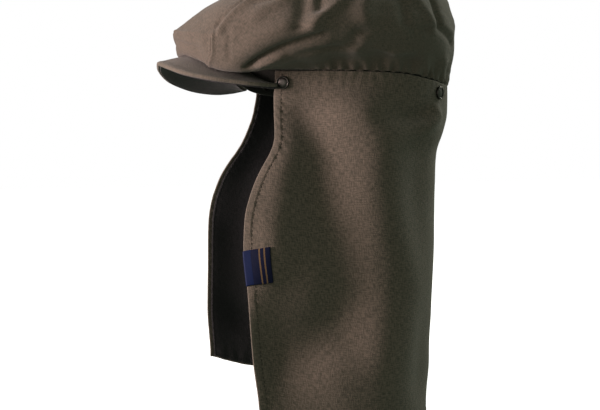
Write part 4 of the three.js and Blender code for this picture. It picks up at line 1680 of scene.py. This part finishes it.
@dataclass(frozen=True)
class Studio:
    """Camera, lights, pale floor and surroundings."""

    azimuth: float = 74.0
    distance: float = 0.950
    eye_height: float = -0.0385
    focal: float = 1026.0
    image_width: float = 600.0
    sensor: float = 36.0
    aim_right: float = -38.0
    aim_down: float = 89.5
    floor_height: float = -0.3115
    floor_size: float = 6.0
    floor_points: int = 9
    lit_place: Triple = (0.0, -0.02, -0.08)
    lights: tuple[SoftBox, ...] = (
        SoftBox("key", 0.50, -1.27, 0.16, 0.4, 38.0, (1.0, 0.82, 0.8)),
        SoftBox("front", 1.2, -0.7, 0.2, 0.6, 2.5, (1.0, 0.86, 0.82)),
        SoftBox("rim", -0.95, 1.0, 0.8, 0.6, 11.0, (1.0, 0.97, 0.86)),
    )
    fill_colour: tuple[float, ...] = (0.80, 1.0, 0.78, 1.0)
    fill_strength: float = 0.3
    backdrop: tuple[float, ...] = (1.0, 1.0, 1.0, 1.0)

    def axes(self) -> tuple[Vector, Vector]:
        """Level directions from the camera to the cap, and to the right of the picture."""
        turn = math.radians(self.azimuth)
        return Vector((-math.sin(turn), math.cos(turn), 0)), Vector((math.cos(turn), math.sin(turn), 0))

    def set_camera(self) -> None:
        """Places the camera at the photograph's angle."""
        ahead, right = self.axes()
        data = bpy.data.cameras.new("camera")
        data.sensor_width = self.sensor
        data.lens = self.sensor * self.focal / self.image_width
        camera = bpy.data.objects.new("camera", data)
        place = -ahead * self.distance
        camera.location = (place.x, place.y, self.eye_height)
        aim = ahead + right * (self.aim_right / self.focal) - Vector((0, 0, self.aim_down / self.focal))
        camera.rotation_euler = aim.to_track_quat("-Z", "Y").to_euler()
        bpy.context.scene.collection.objects.link(camera)
        bpy.context.scene.camera = camera

    def set_lights(self) -> None:
        """Hangs a low warm key at the left, a weak front light and a rim light behind."""
        ahead, right = self.axes()
        for light in self.lights:
            light.hang(Vector(self.lit_place), ahead, right)

    def set_surroundings(self) -> None:
        """Fills the shade with weak greenish light, before a white backdrop."""
        world = bpy.data.worlds.new("surroundings")
        world.use_nodes = True
        nodes, links = world.node_tree.nodes, world.node_tree.links
        nodes.clear()
        output = nodes.new("ShaderNodeOutputWorld")
        blend = nodes.new("ShaderNodeMixShader")
        rays = nodes.new("ShaderNodeLightPath")
        skies = ((self.fill_colour, self.fill_strength), (self.backdrop, 1.0))
        for socket, (colour, strength) in enumerate(skies, start=1):
            sky = nodes.new("ShaderNodeBackground")
            sky.inputs["Color"].default_value = colour
            sky.inputs["Strength"].default_value = strength
            links.new(sky.outputs[0], blend.inputs[socket])
        links.new(rays.outputs["Is Camera Ray"], blend.inputs[0])
        links.new(blend.outputs[0], output.inputs[0])
        bpy.context.scene.world = world
        bpy.context.scene.view_settings.view_transform = "Standard"

    def lay_floor(self) -> None:
        """Lays the pale floor under the hem."""
        half = self.floor_size / 2
        steps = np.linspace(-half, half, self.floor_points)
        x, y = np.meshgrid(steps, steps)
        points = np.stack([x, y, np.full_like(x, self.floor_height)], axis=-1).reshape(-1, 3)
        quads = grid_quads(np.arange(x.size).reshape(x.shape)).reshape(-1, 4)
        mesh = bpy.data.meshes.new("floor")
        mesh.from_pydata(points.tolist(), [], quads.tolist())
        mesh.materials.append(FloorFinish().material())
        floor = bpy.data.objects.new("floor", mesh)
        bpy.context.scene.collection.objects.link(floor)
        floor.visible_diffuse = False
        floor.visible_glossy = False


def main() -> None:
    """Builds and dresses every sub-assembly in order."""
    logging.basicConfig(level=logging.INFO, format="%(name)s: %(message)s")
    studio = Studio()
    studio.set_camera()
    studio.set_lights()
    studio.set_surroundings()
    studio.lay_floor()
    wardrobe = Wardrobe.cut()
    head = HeadOval()
    Headband(head).build(wardrobe)
    Crown(head).build(wardrobe)
    cape = Cape(head)
    cape_face = cape.surface()
    cloth, lining = cape.build(wardrobe)
    Peak(head, cape).build(wardrobe)
    near, far = cape.edge_turn(Edge.NEAR, 0.0), FULL_TURN - cape.edge_turn(Edge.FAR, 0.0)
    turns = {
        "press_stud_front_left": head.turn_along(near, STUD_INSET, cape.out),
        "press_stud_front_right": head.turn_along(far, -STUD_INSET, cape.out),
        "press_stud_rear_left": STUD_REAR_TURN,
        "press_stud_rear_right": FULL_TURN - STUD_REAR_TURN,
    }
    for name, turn in turns.items():
        PressStud(name, head, cape, turn).build(wardrobe)
    SideLabel(cape).build(cape_face, wardrobe)
    outside, inside = Sewing(cape).build(cape_face, cape.lining_surface(cape_face), wardrobe)


if __name__ == "__main__":
    main()
